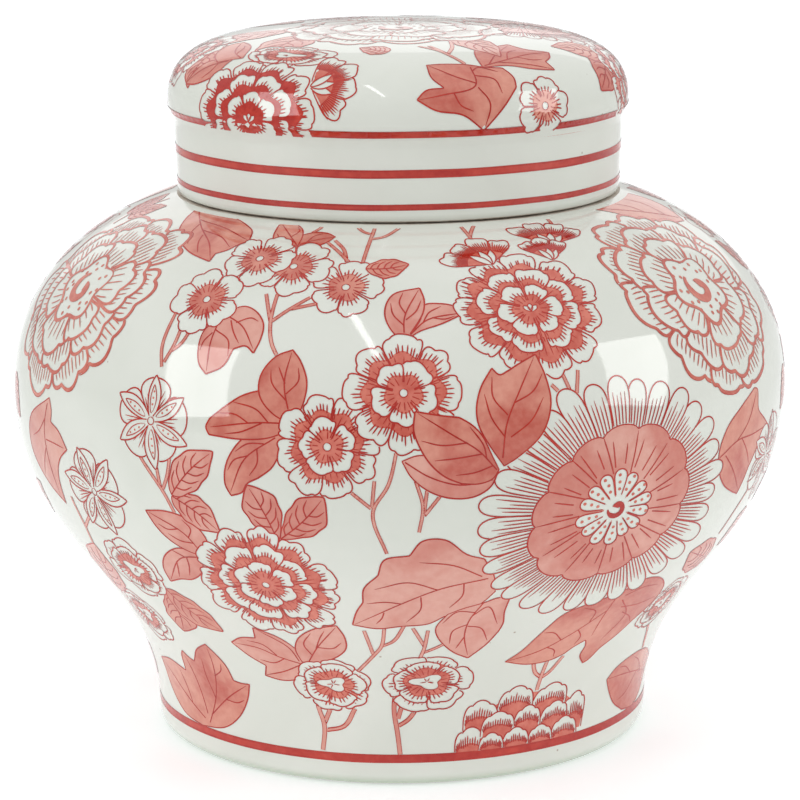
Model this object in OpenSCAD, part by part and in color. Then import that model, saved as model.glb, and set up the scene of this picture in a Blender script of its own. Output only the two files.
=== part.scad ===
// Ginger jar: a squat porcelain jar with a capped lid.
// The jar stands on its foot ring, centred on the Z axis, with the floor at Z = 0.
// Both pieces are turned shapes: a closed outline of [radius, height] points spun about Z.

/* [Body] */
// Radius of the belly at its widest
belly_r = 125.6; // [118:0.2:132]
// Height of the belly's widest point
belly_h = 115; // [108:0.5:120]
// Radius of the foot, where its wall stands upright
foot_r = 80.7; // [76:0.1:86]
// Radius of the foot's rounded bottom edge
foot_round = 5; // [3:0.5:6]
// Width of the bare ring that the jar stands on
foot_ring_w = 6; // [5:0.5:8]
// Depth of the hollow under the floor
foot_hollow = 5; // [3:0.5:6]
// Thickness of the floor
floor_t = 6; // [5:0.5:8]
// Thickness of the body's wall
wall = 5; // [4:0.5:6]

/* [Neck] */
// Height of the flat seat that the lid rests on
seat_h = 176.4; // [174:0.2:180]
// Outer radius of the neck, inside the lid
neck_r = 64.6; // [62:0.2:65]
// Height of the neck above the seat
neck_h = 17; // [12:0.5:20]
// Thickness of the neck's wall
neck_wall = 5; // [4:0.5:6]

/* [Lid] */
// Outer radius of the skirt at its rim
skirt_r = 71.4; // [70.5:0.1:72]
// Height of the skirt, from its rim to the step
skirt_h = 25.6; // [22:0.2:28]
// Outward lean of the skirt over its height
skirt_lean = 0.8; // [0:0.1:1.2]
// Thickness of the skirt
skirt_wall = 4.8; // [4:0.1:5]
// Radius of the cap above the step
cap_r = 74.1; // [73:0.1:76]
// Height of the cap, from the step to its crown
cap_h = 27; // [24:0.5:30]
// Thickness of the cap
cap_t = 5.5; // [5:0.5:7]
// Gap between the lid's rim and its seat
seat_gap = 0.3; // [0.2:0.1:0.5]

/* [Hidden] */

glaze_white = [0.88, 0.90, 0.87];

// Steps along each stretch of curve, and round the turned shapes
curve_steps = 26;
round_steps = 6;
$fn = 180;

// The body's outline is two curved stretches that meet at the belly. Each end of a stretch
// runs straight for the length of its handle before it bends.
waist_handle = 49;
belly_low_handle = 52.5;
belly_top_handle = 37;
shoulder_handle = [22.5, -5.9];
seat_lip = 0.3;
seat_edge = [skirt_r + seat_lip, seat_h];

foot_in_r = foot_r - foot_round - foot_ring_w;
floor_h = foot_hollow + floor_t;
neck_in_r = neck_r - neck_wall;
neck_top = seat_h + neck_h;

// Fillets inside the pot, where the wall turns into the floor or the neck
floor_fillet = 8;
throat_fillet = 5;
throat_clear = 1;
mouth_round = 2.4;

// The foot's rounded edge stops at this angle, where it meets the wall
foot_round_end = -15;

lid_foot = seat_h + seat_gap;
lid_rim_round = 1.4;
step_h = lid_foot + skirt_h;
step_rise = 2.6;
step_chamfer = 0.6;
cap_upright = 1.8;
cap_base_h = step_h + step_rise;
cap_shoulder_h = cap_base_h + cap_upright;
crown_h = step_h + cap_h;
cap_side_handle = 21;
cap_crown_handle = 50;
skirt_in_r = skirt_r - skirt_wall;

// A point on the cubic curve with these four handles, at t from 0 to 1
function cubic(a, b, c, d, t) =
    pow(1 - t, 3) * a + 3 * pow(1 - t, 2) * t * b + 3 * (1 - t) * t * t * c + pow(t, 3) * d;

// Points along that curve, from its start to just before its end
function stretch(a, b, c, d) =
    [for (i = [0 : curve_steps - 1]) cubic(a, b, c, d, i / curve_steps)];

// Points on an arc about a centre, from one angle to the other
function arc(centre, r, from, to) =
    [for (i = [0 : round_steps])
        let (angle = from + (to - from) * i / round_steps)
        centre + r * [cos(angle), sin(angle)]];

function unit(v) = v / norm(v);

// The same line moved sideways, to the left of its direction
function beside(line, distance) =
    [for (i = [1 : len(line) - 2])
        let (along = unit(line[i + 1] - line[i - 1]))
        line[i] + distance * [-along[1], along[0]]];

function turned_round(list) = [for (i = [len(list) - 1 : -1 : 0]) list[i]];

// The body's outside, from the foot up over the belly to the edge of the lid's seat
body_line = concat(
    stretch([foot_r, foot_round], [foot_r, foot_round + waist_handle],
            [belly_r, belly_h - belly_low_handle], [belly_r, belly_h]),
    stretch([belly_r, belly_h], [belly_r, belly_h + belly_top_handle],
            seat_edge + shoulder_handle, seat_edge),
    [seat_edge]);

// The body's inside, one wall's thickness in, kept clear of the two fillets that end it
body_inner_line = [for (p = beside(body_line, wall))
    if (p[1] > floor_h + floor_fillet && p[0] > neck_in_r + throat_fillet + throat_clear) p];

body_outline = concat(
    [[foot_in_r, 0]],
    arc([foot_r - foot_round, foot_round], foot_round, -90, foot_round_end),
    body_line,
    [[neck_r, seat_h]],
    arc([neck_r - mouth_round, neck_top - mouth_round], mouth_round, 0, 90),
    arc([neck_in_r + mouth_round, neck_top - mouth_round], mouth_round, 90, 180),
    arc([neck_in_r + throat_fillet, seat_h - wall + throat_fillet], throat_fillet, 180, 270),
    turned_round(body_inner_line),
    arc([body_inner_line[0][0] - floor_fillet, floor_h + floor_fillet], floor_fillet, 0, -90),
    [[0, floor_h], [0, foot_hollow], [foot_in_r - foot_hollow / 2, foot_hollow]]);

// The cap's outside, from its upright side over to the crown
cap_line = concat(
    stretch([cap_r, cap_shoulder_h], [cap_r, cap_shoulder_h + cap_side_handle],
            [cap_crown_handle, crown_h], [0, crown_h]),
    [[0, crown_h]]);

// The cap's inside, one cap's thickness in
cap_inner_line = beside(cap_line, cap_t);

lid_outline = concat(
    arc([skirt_in_r + lid_rim_round, lid_foot + lid_rim_round], lid_rim_round, 180, 270),
    arc([skirt_r - lid_rim_round, lid_foot + lid_rim_round], lid_rim_round, -90, 0),
    [[skirt_r + skirt_lean, step_h - step_chamfer],
     [skirt_r + skirt_lean + step_chamfer, step_h],
     [cap_r - step_chamfer, cap_base_h - step_chamfer],
     [cap_r, cap_base_h]],
    cap_line,
    [[0, crown_h - cap_t]],
    turned_round(cap_inner_line),
    [[skirt_in_r + skirt_lean, cap_base_h]]);

// The jar: foot ring, belly, shoulder and neck, cast and fired as one piece
module jar_body() {
    color(glaze_white)
        rotate_extrude()
            polygon(body_outline);
}

// The lid: a cap with a skirt that drops over the neck and rests on the seat
module lid() {
    color(glaze_white)
        rotate_extrude()
            polygon(lid_outline);
}

jar_body();
lid();
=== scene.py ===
"""Looks for a squat porcelain ginger jar with a capped lid, painted in coral.

The turned porcelain is rebuilt finely from the outline of each CAD piece. The painting is thin
film laid on the glaze: every blossom, leaf and twig is worked out as washes and strokes in
millimetres, put in its place by degrees round the jar and millimetres up its side, and trimmed
wherever another motif lies over it.
"""
import logging
import math
from dataclasses import dataclass, field, replace
from enum import Enum
from typing import ClassVar

import bpy
import numpy as np
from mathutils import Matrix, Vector
from mathutils.geometry import delaunay_2d_cdt


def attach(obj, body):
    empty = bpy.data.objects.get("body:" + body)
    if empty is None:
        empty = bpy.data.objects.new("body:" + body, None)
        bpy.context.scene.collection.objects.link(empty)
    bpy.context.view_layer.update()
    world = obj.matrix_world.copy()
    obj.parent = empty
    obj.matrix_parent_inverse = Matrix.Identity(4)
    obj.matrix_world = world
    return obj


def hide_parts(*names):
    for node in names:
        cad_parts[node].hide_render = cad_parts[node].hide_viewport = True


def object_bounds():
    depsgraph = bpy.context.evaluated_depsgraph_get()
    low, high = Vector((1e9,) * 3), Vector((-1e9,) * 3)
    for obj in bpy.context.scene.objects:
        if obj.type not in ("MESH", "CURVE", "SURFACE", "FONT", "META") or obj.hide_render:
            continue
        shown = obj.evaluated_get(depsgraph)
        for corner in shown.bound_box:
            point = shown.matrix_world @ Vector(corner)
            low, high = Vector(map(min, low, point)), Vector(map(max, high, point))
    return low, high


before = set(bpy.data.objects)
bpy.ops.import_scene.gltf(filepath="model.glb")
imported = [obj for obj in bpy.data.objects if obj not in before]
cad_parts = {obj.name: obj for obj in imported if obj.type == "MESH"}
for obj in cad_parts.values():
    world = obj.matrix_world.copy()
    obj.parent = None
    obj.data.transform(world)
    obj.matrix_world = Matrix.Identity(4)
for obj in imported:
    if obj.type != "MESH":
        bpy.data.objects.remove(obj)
cad_low, cad_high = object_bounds()

LOG = logging.getLogger("ginger_jar")
MM = 0.001
HALF_TURN = 180.0
FULL_TURN = 360.0
PARTS_BETWEEN_POINTS = 6  # how finely a line is rounded between two of its points
HEIGHT_SLACK = 0.6  # how far off a stated height a point may be, in millimetres


class Slot(Enum):
    """The material slot names that each pigment carries."""

    GLAZE = "glazed_porcelain"
    LINE = "coral_line"
    WASH = "coral_wash"


class Tone(Enum):
    """How strongly a stroke or a wash is laid."""

    DEEP = "deep_line"
    SOFT = "soft_line"
    FULL = "full_wash"
    DARK = "dark_wash"
    PALE = "pale_wash"
    BAND = "band_wash"


class Chart(Enum):
    """How the outside of a turned piece is laid flat."""

    ROUND_THE_SIDE = "cylinder"
    OUT_FROM_THE_CROWN = "disc"


# ------------------------------------------------------------------ small geometry helpers


def arc_lengths(points: np.ndarray) -> np.ndarray:
    """Distance along a line of points, from its first point to each of them.

    Args:
        points: The line, one point a row.

    Returns:
        One running length for each point.
    """
    steps = np.linalg.norm(np.diff(points, axis=0), axis=1)
    return np.concatenate([[0.0], np.cumsum(steps)])


def resampled(points: np.ndarray, step: float) -> np.ndarray:
    """The same line with points at an even spacing.

    Args:
        points: The line, one point a row.
        step: The spacing wanted, in the line's own units.

    Returns:
        The new points, with both ends kept.
    """
    along = arc_lengths(points)
    count = max(2, int(math.ceil(along[-1] / step)) + 1)
    at = np.linspace(0.0, along[-1], count)
    return np.column_stack([np.interp(at, along, column) for column in points.T])


def smoothed(points: np.ndarray) -> np.ndarray:
    """A rounded line through a few points, by Catmull and Rom's rule with centripetal knots.

    Args:
        points: The points that the line passes through.

    Returns:
        The rounded line, with both ends kept.
    """
    points = np.asarray(points, dtype=float)
    before = 2 * points[0] - points[1]
    after = 2 * points[-1] - points[-2]
    guides = np.vstack([before, points, after])
    line = []
    share = np.linspace(0.0, 1.0, PARTS_BETWEEN_POINTS, endpoint=False)[:, None]
    for a, b, c, d in zip(guides, guides[1:], guides[2:], guides[3:]):
        knots = np.maximum(np.sqrt(np.linalg.norm([b - a, c - b, d - c], axis=1)), 1e-6)
        start = (b - a) / knots[0] - (c - a) / (knots[0] + knots[1]) + (c - b) / knots[1]
        end = (c - b) / knots[1] - (d - b) / (knots[1] + knots[2]) + (d - c) / knots[2]
        start, end = start * knots[1], end * knots[1]
        cube = 2 * (b - c) + start + end
        square = 3 * (c - b) - 2 * start - end
        line.append(((cube * share + square) * share + start) * share + b)
    return np.vstack([*line, points[-1:]])


def polar(radius: np.ndarray | float, degrees: np.ndarray | float) -> np.ndarray:
    """Points at a radius and an angle, measured clockwise from straight up.

    Args:
        radius: Distance from the centre.
        degrees: Angle from the upward direction.

    Returns:
        The points, one a row.
    """
    angle = np.radians(degrees)
    return np.column_stack(np.broadcast_arrays(radius * np.sin(angle), radius * np.cos(angle)))


def turned(points: np.ndarray, degrees: float) -> np.ndarray:
    """Points turned clockwise about the origin.

    Args:
        points: The points, one a row.
        degrees: How far to turn them.

    Returns:
        The turned points.
    """
    cos, sin = math.cos(math.radians(degrees)), math.sin(math.radians(degrees))
    return points @ np.array([[cos, -sin], [sin, cos]])


def turns(count: int) -> np.ndarray:
    """Directions spaced evenly all round, in degrees."""
    return np.arange(count) * FULL_TURN / count


def circle(radius: float, centre: tuple[float, float] = (0.0, 0.0), count: int = 20) -> np.ndarray:
    """A ring of points that isn't closed.

    Args:
        radius: The ring's radius.
        centre: The ring's middle.
        count: How many points it has.

    Returns:
        The points, one a row.
    """
    return polar(radius, turns(count)) + np.asarray(centre)


def closed_line(loop: np.ndarray) -> np.ndarray:
    """A loop as a line that ends where it starts."""
    return np.vstack([loop, loop[:1]])


def inside(points: np.ndarray, loop: np.ndarray) -> np.ndarray:
    """Which points lie inside a closed outline, by the even and odd rule.

    Args:
        points: The points to test, one a row.
        loop: The outline, without its first point repeated.

    Returns:
        True or False for each point.
    """
    following = np.roll(loop, -1, axis=0)
    x, y = points[:, :1], points[:, 1:]
    rises = (loop[:, 1] > y) != (following[:, 1] > y)
    drop = following[:, 1] - loop[:, 1]
    drop = np.where(drop == 0.0, 1e-12, drop)
    crossing = loop[:, 0] + (y - loop[:, 1]) * (following[:, 0] - loop[:, 0]) / drop
    return (np.sum(rises & (x < crossing), axis=1) % 2).astype(bool)


# ------------------------------------------------------------------ the turned pieces


@dataclass(frozen=True)
class Section:
    """Half of a CAD piece's cross-section: one line of [radius, height] points, in millimetres."""

    points: np.ndarray

    @classmethod
    def of_node(cls, node: str) -> "Section":
        """Reads the line that the piece's mesh draws in the plane of +X and +Z.

        Args:
            node: The CAD piece's name.

        Returns:
            Its half-section, from the underside or the crown round to the inside.
        """
        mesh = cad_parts[node].data
        places = np.empty(len(mesh.vertices) * 3)
        mesh.vertices.foreach_get("co", places)
        places = places.reshape(-1, 3) / MM
        ends = np.empty(len(mesh.edges) * 2, dtype=int)
        mesh.edges.foreach_get("vertices", ends)
        near = 1e-3
        in_plane = (np.abs(places[:, 1]) < near) & (places[:, 0] > -near)
        flat = np.round(places[:, [0, 2]], 2)
        joined: dict[tuple, set] = {}
        for one, other in ends.reshape(-1, 2):
            a, b = tuple(flat[one]), tuple(flat[other])
            if in_plane[one] and in_plane[other] and a != b:
                joined.setdefault(a, set()).add(b)
                joined.setdefault(b, set()).add(a)
        loose = [point for point, beside in joined.items() if len(beside) == 1]
        first = max(loose, key=lambda point: point[0] < near and point[1])
        if first[0] > near:
            first = min(loose, key=lambda point: point[1])
        line, last = [first], None
        while True:
            onward = [point for point in joined[line[-1]] if point != last]
            if not onward:
                break
            last = line[-1]
            line.append(onward[0])
        for end in (0, -1):
            if line[end][0] > near:
                line.insert(0 if end == 0 else len(line), (0.0, line[end][1]))
        return cls(np.array(line))

    def corners(self) -> list[int]:
        """Where the line turns sharply, as places in the list, with both ends.

        Returns:
            The indices of the points that a smooth stretch stops at.
        """
        short, soft, hard = 2.5, 8.0, 50.0
        steps = np.diff(self.points, axis=0)
        lengths = np.linalg.norm(steps, axis=1)
        headings = np.unwrap(np.arctan2(steps[:, 1], steps[:, 0]))
        turns = np.degrees(np.abs(np.diff(headings)))
        sharp = [
            i + 1
            for i, turn in enumerate(turns)
            if turn > hard or (turn > soft and min(lengths[i], lengths[i + 1]) > short)
        ]
        return [0, *sharp, len(self.points) - 1]

    def stretches(self, step: float) -> list[np.ndarray]:
        """The line as smooth stretches that meet at its corners.

        Args:
            step: The spacing of the points, in millimetres.

        Returns:
            One line of points for each stretch.
        """
        ends = self.corners()
        return [
            resampled(smoothed(self.points[a : b + 1]), step) for a, b in zip(ends, ends[1:])
        ]


class Skin:
    """The painted outside of a turned piece, with a flat chart that motifs are trimmed on."""

    step = 0.5
    chart_radius = 110.0
    chart_ends = (-0.37, 0.87)

    def __init__(self, line: np.ndarray, datum: float, chart: Chart) -> None:
        """Measures the outside.

        Args:
            line: The outside from its foot to its top, as [radius, height] in millimetres.
            datum: The height that distances up the side are measured from.
            chart: How the outside is laid flat.
        """
        self.chart = chart
        self.line = resampled(line, self.step)
        along = arc_lengths(self.line)
        outer = np.argmax(self.line[:, 1] >= datum)
        self.up = along - along[outer]
        self.top = float(self.up[-1])
        slope = np.gradient(self.line, axis=0)
        slope /= np.linalg.norm(slope, axis=1)[:, None]
        self.facing = np.column_stack([slope[:, 1], -slope[:, 0]])

    def radius(self, up: np.ndarray | float) -> np.ndarray:
        """Radius in millimetres at a distance up the side."""
        return np.interp(up, self.up, self.line[:, 0])

    def on_chart(self, places: np.ndarray) -> np.ndarray:
        """Places as points on the flat chart.

        Args:
            places: [degrees round, millimetres up], one a row.

        Returns:
            The chart's own millimetres.
        """
        around, up = places.T
        if self.chart is Chart.ROUND_THE_SIDE:
            return np.column_stack([np.radians(around) * self.chart_radius, up])
        return polar(self.top - up, HALF_TURN - around)

    def off_chart(self, points: np.ndarray) -> np.ndarray:
        """Points on the flat chart as places.

        Args:
            points: The chart's own millimetres.

        Returns:
            [degrees round, millimetres up], one a row.
        """
        if self.chart is Chart.ROUND_THE_SIDE:
            return np.column_stack([np.degrees(points[:, 0] / self.chart_radius), points[:, 1]])
        around = np.degrees(np.arctan2(points[:, 0], -points[:, 1]))
        return np.column_stack([around, self.top - np.hypot(*points.T)])

    def echoes(self, loop: np.ndarray) -> list[np.ndarray]:
        """A cover on the chart, and its copies where the chart joins up with itself.

        Args:
            loop: The cover's outline on the chart.

        Returns:
            The outlines that may hide something that is painted.
        """
        if self.chart is Chart.OUT_FROM_THE_CROWN:
            return [loop]
        once_round = 2 * math.pi * self.chart_radius
        middle = loop[:, 0].mean() / once_round
        first, last = self.chart_ends
        shifts = [shift for shift in (-1, 0, 1) if first < middle + shift < last]
        return [loop + (shift * once_round, 0.0) for shift in shifts]

    def in_space(self, places: np.ndarray, lift: float) -> tuple[np.ndarray, np.ndarray]:
        """Places as points in space, lifted a little off the glaze.

        Args:
            places: [degrees round, millimetres up], one a row. 0 degrees faces -Y.
            lift: Height above the glaze, in millimetres.

        Returns:
            The points in metres, and the glaze's outward directions there.
        """
        around, up = np.radians(places[:, 0]), places[:, 1]
        out = np.interp(up, self.up, self.facing[:, 0])
        rise = np.interp(up, self.up, self.facing[:, 1])
        radius = self.radius(up) + lift * out
        height = np.interp(up, self.up, self.line[:, 1]) + lift * rise
        sin, cos = np.sin(around), -np.cos(around)
        points = np.column_stack([radius * sin, radius * cos, height]) * MM
        normals = np.column_stack([out * sin, out * cos, rise])
        return points, normals / np.linalg.norm(normals, axis=1)[:, None]


def mesh_object(
    name: str, points: np.ndarray, faces: list, normals: np.ndarray | None = None
) -> bpy.types.Object:
    """Makes a smooth-shaded mesh and links it to the scene.

    Args:
        name: The piece's name.
        points: Its points, in metres.
        faces: Lists of indices into the points.
        normals: One shading direction for each point, or None to work them out.

    Returns:
        The new object.
    """
    mesh = bpy.data.meshes.new(name)
    mesh.from_pydata(points.tolist(), [], faces)
    mesh.polygons.foreach_set("use_smooth", [True] * len(mesh.polygons))
    mesh.update()
    if normals is not None:
        mesh.normals_split_custom_set_from_vertices(normals.tolist())
    piece = bpy.data.objects.new(name, mesh)
    bpy.context.scene.collection.objects.link(piece)
    return piece


@dataclass
class TurnedPiece:
    """A piece of the jar as the lathe leaves it: the CAD outline, smoothed and spun."""

    node: str
    body: str
    name: str
    datum: float
    chart: Chart
    outer_ends: tuple[float, float]
    bare_heights: tuple[tuple[float, float, float], ...] = ()
    sides: int = 240
    step: float = 1.8
    section: Section = field(init=False)
    skin: Skin = field(init=False)

    def __post_init__(self) -> None:
        """Reads the section and finds the painted outside."""
        self.section = Section.of_node(self.node)
        self.skin = Skin(self._outside(), self.datum, self.chart)

    def _outside(self) -> np.ndarray:
        """The smooth outside from its lowest to its highest end.

        Returns:
            [radius, height] points, going up.
        """
        fine = 0.4
        line = np.vstack(self.section.stretches(fine))
        low, high = self.outer_ends
        start = self._nearest(line, low)
        end = 0 if self.chart is Chart.OUT_FROM_THE_CROWN else self._nearest(line, high)
        part = line[start : end + 1] if start < end else line[end : start + 1][::-1]
        keep = np.concatenate([[True], np.linalg.norm(np.diff(part, axis=0), axis=1) > 1e-6])
        return part[keep]

    @staticmethod
    def _nearest(line: np.ndarray, height: float) -> int:
        """The outermost point of a line at a height, as a place in the list."""
        near = np.abs(line[:, 1] - height) < HEIGHT_SLACK
        return int(np.argmax(np.where(near, line[:, 0], -1.0)))

    def build(self, finishes: dict[str, bpy.types.Material]) -> bpy.types.Object:
        """Spins the section into a closed mesh that stands for the CAD piece.

        Args:
            finishes: The glaze and the bare clay, by name.

        Returns:
            The finished piece, riding on its body.
        """
        angles = np.arange(self.sides) * 2 * math.pi / self.sides
        rings: list[np.ndarray] = []
        points: list[np.ndarray] = []
        sharp_rings: list[int] = []
        count = 0
        for stretch in self.section.stretches(self.step):
            for radius, height in stretch if not rings else stretch[1:]:
                if radius < 1e-6:
                    points.append(np.array([[0.0, 0.0, height]]))
                    rings.append(np.full(self.sides, count))
                    count += 1
                    continue
                x, y = radius * np.sin(angles), -radius * np.cos(angles)
                points.append(np.column_stack([x, y, np.full(self.sides, height)]))
                rings.append(np.arange(count, count + self.sides))
                count += self.sides
            sharp_rings.append(len(rings) - 1)
        faces = []
        for low, high in zip(rings, rings[1:]):
            for i in range(self.sides):
                j = (i + 1) % self.sides
                corners = [int(low[i]), int(low[j]), int(high[j]), int(high[i])]
                faces.append(list(dict.fromkeys(corners)))
        piece = mesh_object(self.name, np.vstack(points) * MM, faces)
        self._turn_outwards(piece.data)
        self._crease(piece.data, [rings[i] for i in sharp_rings[:-1]])
        piece.data.materials.append(finishes["glaze"])
        piece.data.materials.append(finishes["bare"])
        self._bare_patches(piece.data)
        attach(piece, self.body)
        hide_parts(self.node)
        LOG.info("%s: turned piece, %d faces", piece.name, len(faces))
        return piece

    @staticmethod
    def _turn_outwards(mesh: bpy.types.Mesh) -> None:
        """Flips every face if the mesh is inside out.

        Args:
            mesh: The turned mesh.
        """
        volume = 0.0
        for polygon in mesh.polygons:
            volume += polygon.normal.dot(polygon.center) * polygon.area
        if volume < 0.0:
            mesh.flip_normals()

    def _crease(self, mesh: bpy.types.Mesh, rings: list[np.ndarray]) -> None:
        """Marks the corners of the section as sharp edges.

        Args:
            mesh: The turned mesh.
            rings: The rings of points that lie on corners.
        """
        ring_of = np.full(len(mesh.vertices), -1)
        for number, ring in enumerate(rings):
            ring_of[ring] = number
        ends = np.empty(len(mesh.edges) * 2, dtype=int)
        mesh.edges.foreach_get("vertices", ends)
        ends = ring_of[ends.reshape(-1, 2)]
        mesh.edges.foreach_set("use_edge_sharp", (ends[:, 0] >= 0) & (ends[:, 0] == ends[:, 1]))

    def _bare_patches(self, mesh: bpy.types.Mesh) -> None:
        """Leaves the clay bare on faces in the given rings of radius and height.

        Args:
            mesh: The turned mesh, whose second material is the bare clay.
        """
        centres = np.empty(len(mesh.polygons) * 3)
        mesh.polygons.foreach_get("center", centres)
        centres = centres.reshape(-1, 3) / MM
        radii = np.hypot(centres[:, 0], centres[:, 1])
        bare = np.zeros(len(mesh.polygons), dtype=int)
        for low_radius, high_radius, height in self.bare_heights:
            level = np.abs(centres[:, 2] - height) < HEIGHT_SLACK / 2
            bare |= level & (radii > low_radius) & (radii < high_radius)
        mesh.polygons.foreach_set("material_index", bare)


# ------------------------------------------------------------------ finishes


class Board:
    """A node tree that is being wired up."""

    def __init__(self, tree: bpy.types.NodeTree) -> None:
        """Starts on an empty tree.

        Args:
            tree: A material's, a world's or a group's tree.
        """
        self.tree = tree
        tree.nodes.clear()

    def node(self, kind: str, **settings: object) -> bpy.types.Node:
        """Adds a node.

        Args:
            kind: The node's type, without its ShaderNode prefix.
            **settings: Attributes of the node, or socket values with _ for each space.

        Returns:
            The new node.
        """
        full = kind if kind.startswith("Node") else "ShaderNode" + kind
        made = self.tree.nodes.new(full)
        sockets = {socket.name.replace(" ", "_"): socket for socket in reversed(made.inputs)}
        for name, value in settings.items():
            if name in sockets:
                sockets[name].default_value = value
            else:
                setattr(made, name, value)
        return made

    def wire(self, source: bpy.types.NodeSocket, target: bpy.types.NodeSocket) -> None:
        """Joins two sockets."""
        self.tree.links.new(source, target)

    def show(self, shader: bpy.types.Node) -> None:
        """Makes a shader the material's surface."""
        self.wire(shader.outputs[0], self.node("OutputMaterial").inputs["Surface"])

    def blend(
        self, share: bpy.types.NodeSocket, one: object, other: object
    ) -> bpy.types.NodeSocket:
        """Mixes two colours.

        Args:
            share: How much of the second colour shows, from 0 to 1.
            one: The first colour, as a socket or a value.
            other: The second colour, as a socket or a value.

        Returns:
            The mixed colour's socket.
        """
        mix = self.node("Mix", data_type="RGBA")
        self.wire(share, mix.inputs["Factor"])
        for socket, colour in ((mix.inputs[6], one), (mix.inputs[7], other)):
            if isinstance(colour, bpy.types.NodeSocket):
                self.wire(colour, socket)
            else:
                socket.default_value = colour
        return mix.outputs[2]

    def stretch(
        self, value: bpy.types.NodeSocket, low: float, high: float, to: tuple[float, float] = (0, 1)
    ) -> bpy.types.NodeSocket:
        """Maps a range of values smoothly onto another.

        Args:
            value: The value to map.
            low: Where the range starts.
            high: Where it ends.
            to: What the two ends become.

        Returns:
            The mapped value's socket.
        """
        ramp = self.node("MapRange", interpolation_type="SMOOTHSTEP")
        self.wire(value, ramp.inputs["Value"])
        ramp.inputs["From Min"].default_value = low
        ramp.inputs["From Max"].default_value = high
        ramp.inputs["To Min"].default_value = to[0]
        ramp.inputs["To Max"].default_value = to[1]
        return ramp.outputs["Result"]


def group_board(
    name: str, inputs: dict[str, tuple[str, object]], outputs: dict[str, str]
) -> tuple[Board, bpy.types.Node, bpy.types.Node]:
    """Starts a node group that several materials share.

    Args:
        name: The group's name.
        inputs: Each input's name, with its kind and its default.
        outputs: Each output's name, with its kind.

    Returns:
        The group's board, its input node and its output node.
    """
    tree = bpy.data.node_groups.new(name, "ShaderNodeTree")
    for label, (kind, value) in inputs.items():
        socket = tree.interface.new_socket(label, in_out="INPUT", socket_type="NodeSocket" + kind)
        socket.default_value = value
    for label, kind in outputs.items():
        tree.interface.new_socket(label, in_out="OUTPUT", socket_type="NodeSocket" + kind)
    board = Board(tree)
    return board, board.node("NodeGroupInput"), board.node("NodeGroupOutput")


def glaze_ripple_group() -> bpy.types.NodeTree:
    """The slow unevenness of a poured glaze, and its few pinholes.

    Returns:
        A group with the glaze's height, its roughness and a mask of its pinholes.
    """
    board, given, made = group_board(
        "Glaze ripple",
        {"Wave Scale": ("Float", 22.0), "Grain Scale": ("Float", 260.0),
         "Smooth": ("Float", 0.04), "Dull": ("Float", 0.09)},
        {"Height": "Float", "Roughness": "Float", "Pinholes": "Float"},
    )
    at = board.node("TexCoord").outputs["Object"]
    wave = board.node("TexNoise", Detail=2.0, Roughness=0.4)
    grain = board.node("TexNoise", Detail=3.0, Roughness=0.55)
    holes = board.node("TexVoronoi", Scale=70.0, feature="F1", distance="EUCLIDEAN")
    for texture, scale in ((wave, "Wave Scale"), (grain, "Grain Scale")):
        board.wire(at, texture.inputs["Vector"])
        board.wire(given.outputs[scale], texture.inputs["Scale"])
    board.wire(at, holes.inputs["Vector"])
    grain_height, pinhole_edge, pinhole_middle = 0.03, 0.035, 0.02
    height = board.node("Math", operation="MULTIPLY_ADD")
    height.inputs[1].default_value = grain_height
    board.wire(grain.outputs[0], height.inputs[0])
    board.wire(wave.outputs[0], height.inputs[2])
    board.wire(height.outputs[0], made.inputs["Height"])
    dull = board.node("MapRange")
    board.wire(wave.outputs[0], dull.inputs["Value"])
    board.wire(given.outputs["Smooth"], dull.inputs["To Min"])
    board.wire(given.outputs["Dull"], dull.inputs["To Max"])
    board.wire(dull.outputs["Result"], made.inputs["Roughness"])
    pinholes = board.stretch(holes.outputs["Distance"], pinhole_edge, pinhole_middle)
    board.wire(pinholes, made.inputs["Pinholes"])
    return board.tree


def brush_mottle_group() -> bpy.types.NodeTree:
    """The unevenness of pigment laid with a brush: broad pools, streaks and a fine grain.

    Returns:
        A group that mixes a thin and a thick colour.
    """
    board, given, made = group_board(
        "Brush mottle",
        {"Thin": ("Color", (0.7, 0.3, 0.25, 1.0)), "Thick": ("Color", (0.5, 0.1, 0.08, 1.0)),
         "Pool Scale": ("Float", 34.0), "Grain Scale": ("Float", 420.0),
         "Grain": ("Float", 0.35)},
        {"Color": "Color", "Thickness": "Float"},
    )
    at = board.node("TexCoord").outputs["Object"]
    pool = board.node("TexNoise", Detail=3.0, Roughness=0.55, Distortion=0.6)
    grain = board.node("TexNoise", Detail=2.0, Roughness=0.6)
    for texture, scale in ((pool, "Pool Scale"), (grain, "Grain Scale")):
        board.wire(at, texture.inputs["Vector"])
        board.wire(given.outputs[scale], texture.inputs["Scale"])
    pooled = board.stretch(pool.outputs[0], 0.36, 0.66)
    grained = board.stretch(grain.outputs[0], 0.3, 0.7)
    mix = board.node("Mix", data_type="FLOAT")
    board.wire(given.outputs["Grain"], mix.inputs["Factor"])
    board.wire(pooled, mix.inputs[2])
    board.wire(grained, mix.inputs[3])
    thickness = mix.outputs[0]
    colour = board.blend(thickness, given.outputs["Thin"], given.outputs["Thick"])
    board.wire(colour, made.inputs["Color"])
    board.wire(thickness, made.inputs["Thickness"])
    return board.tree


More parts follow.
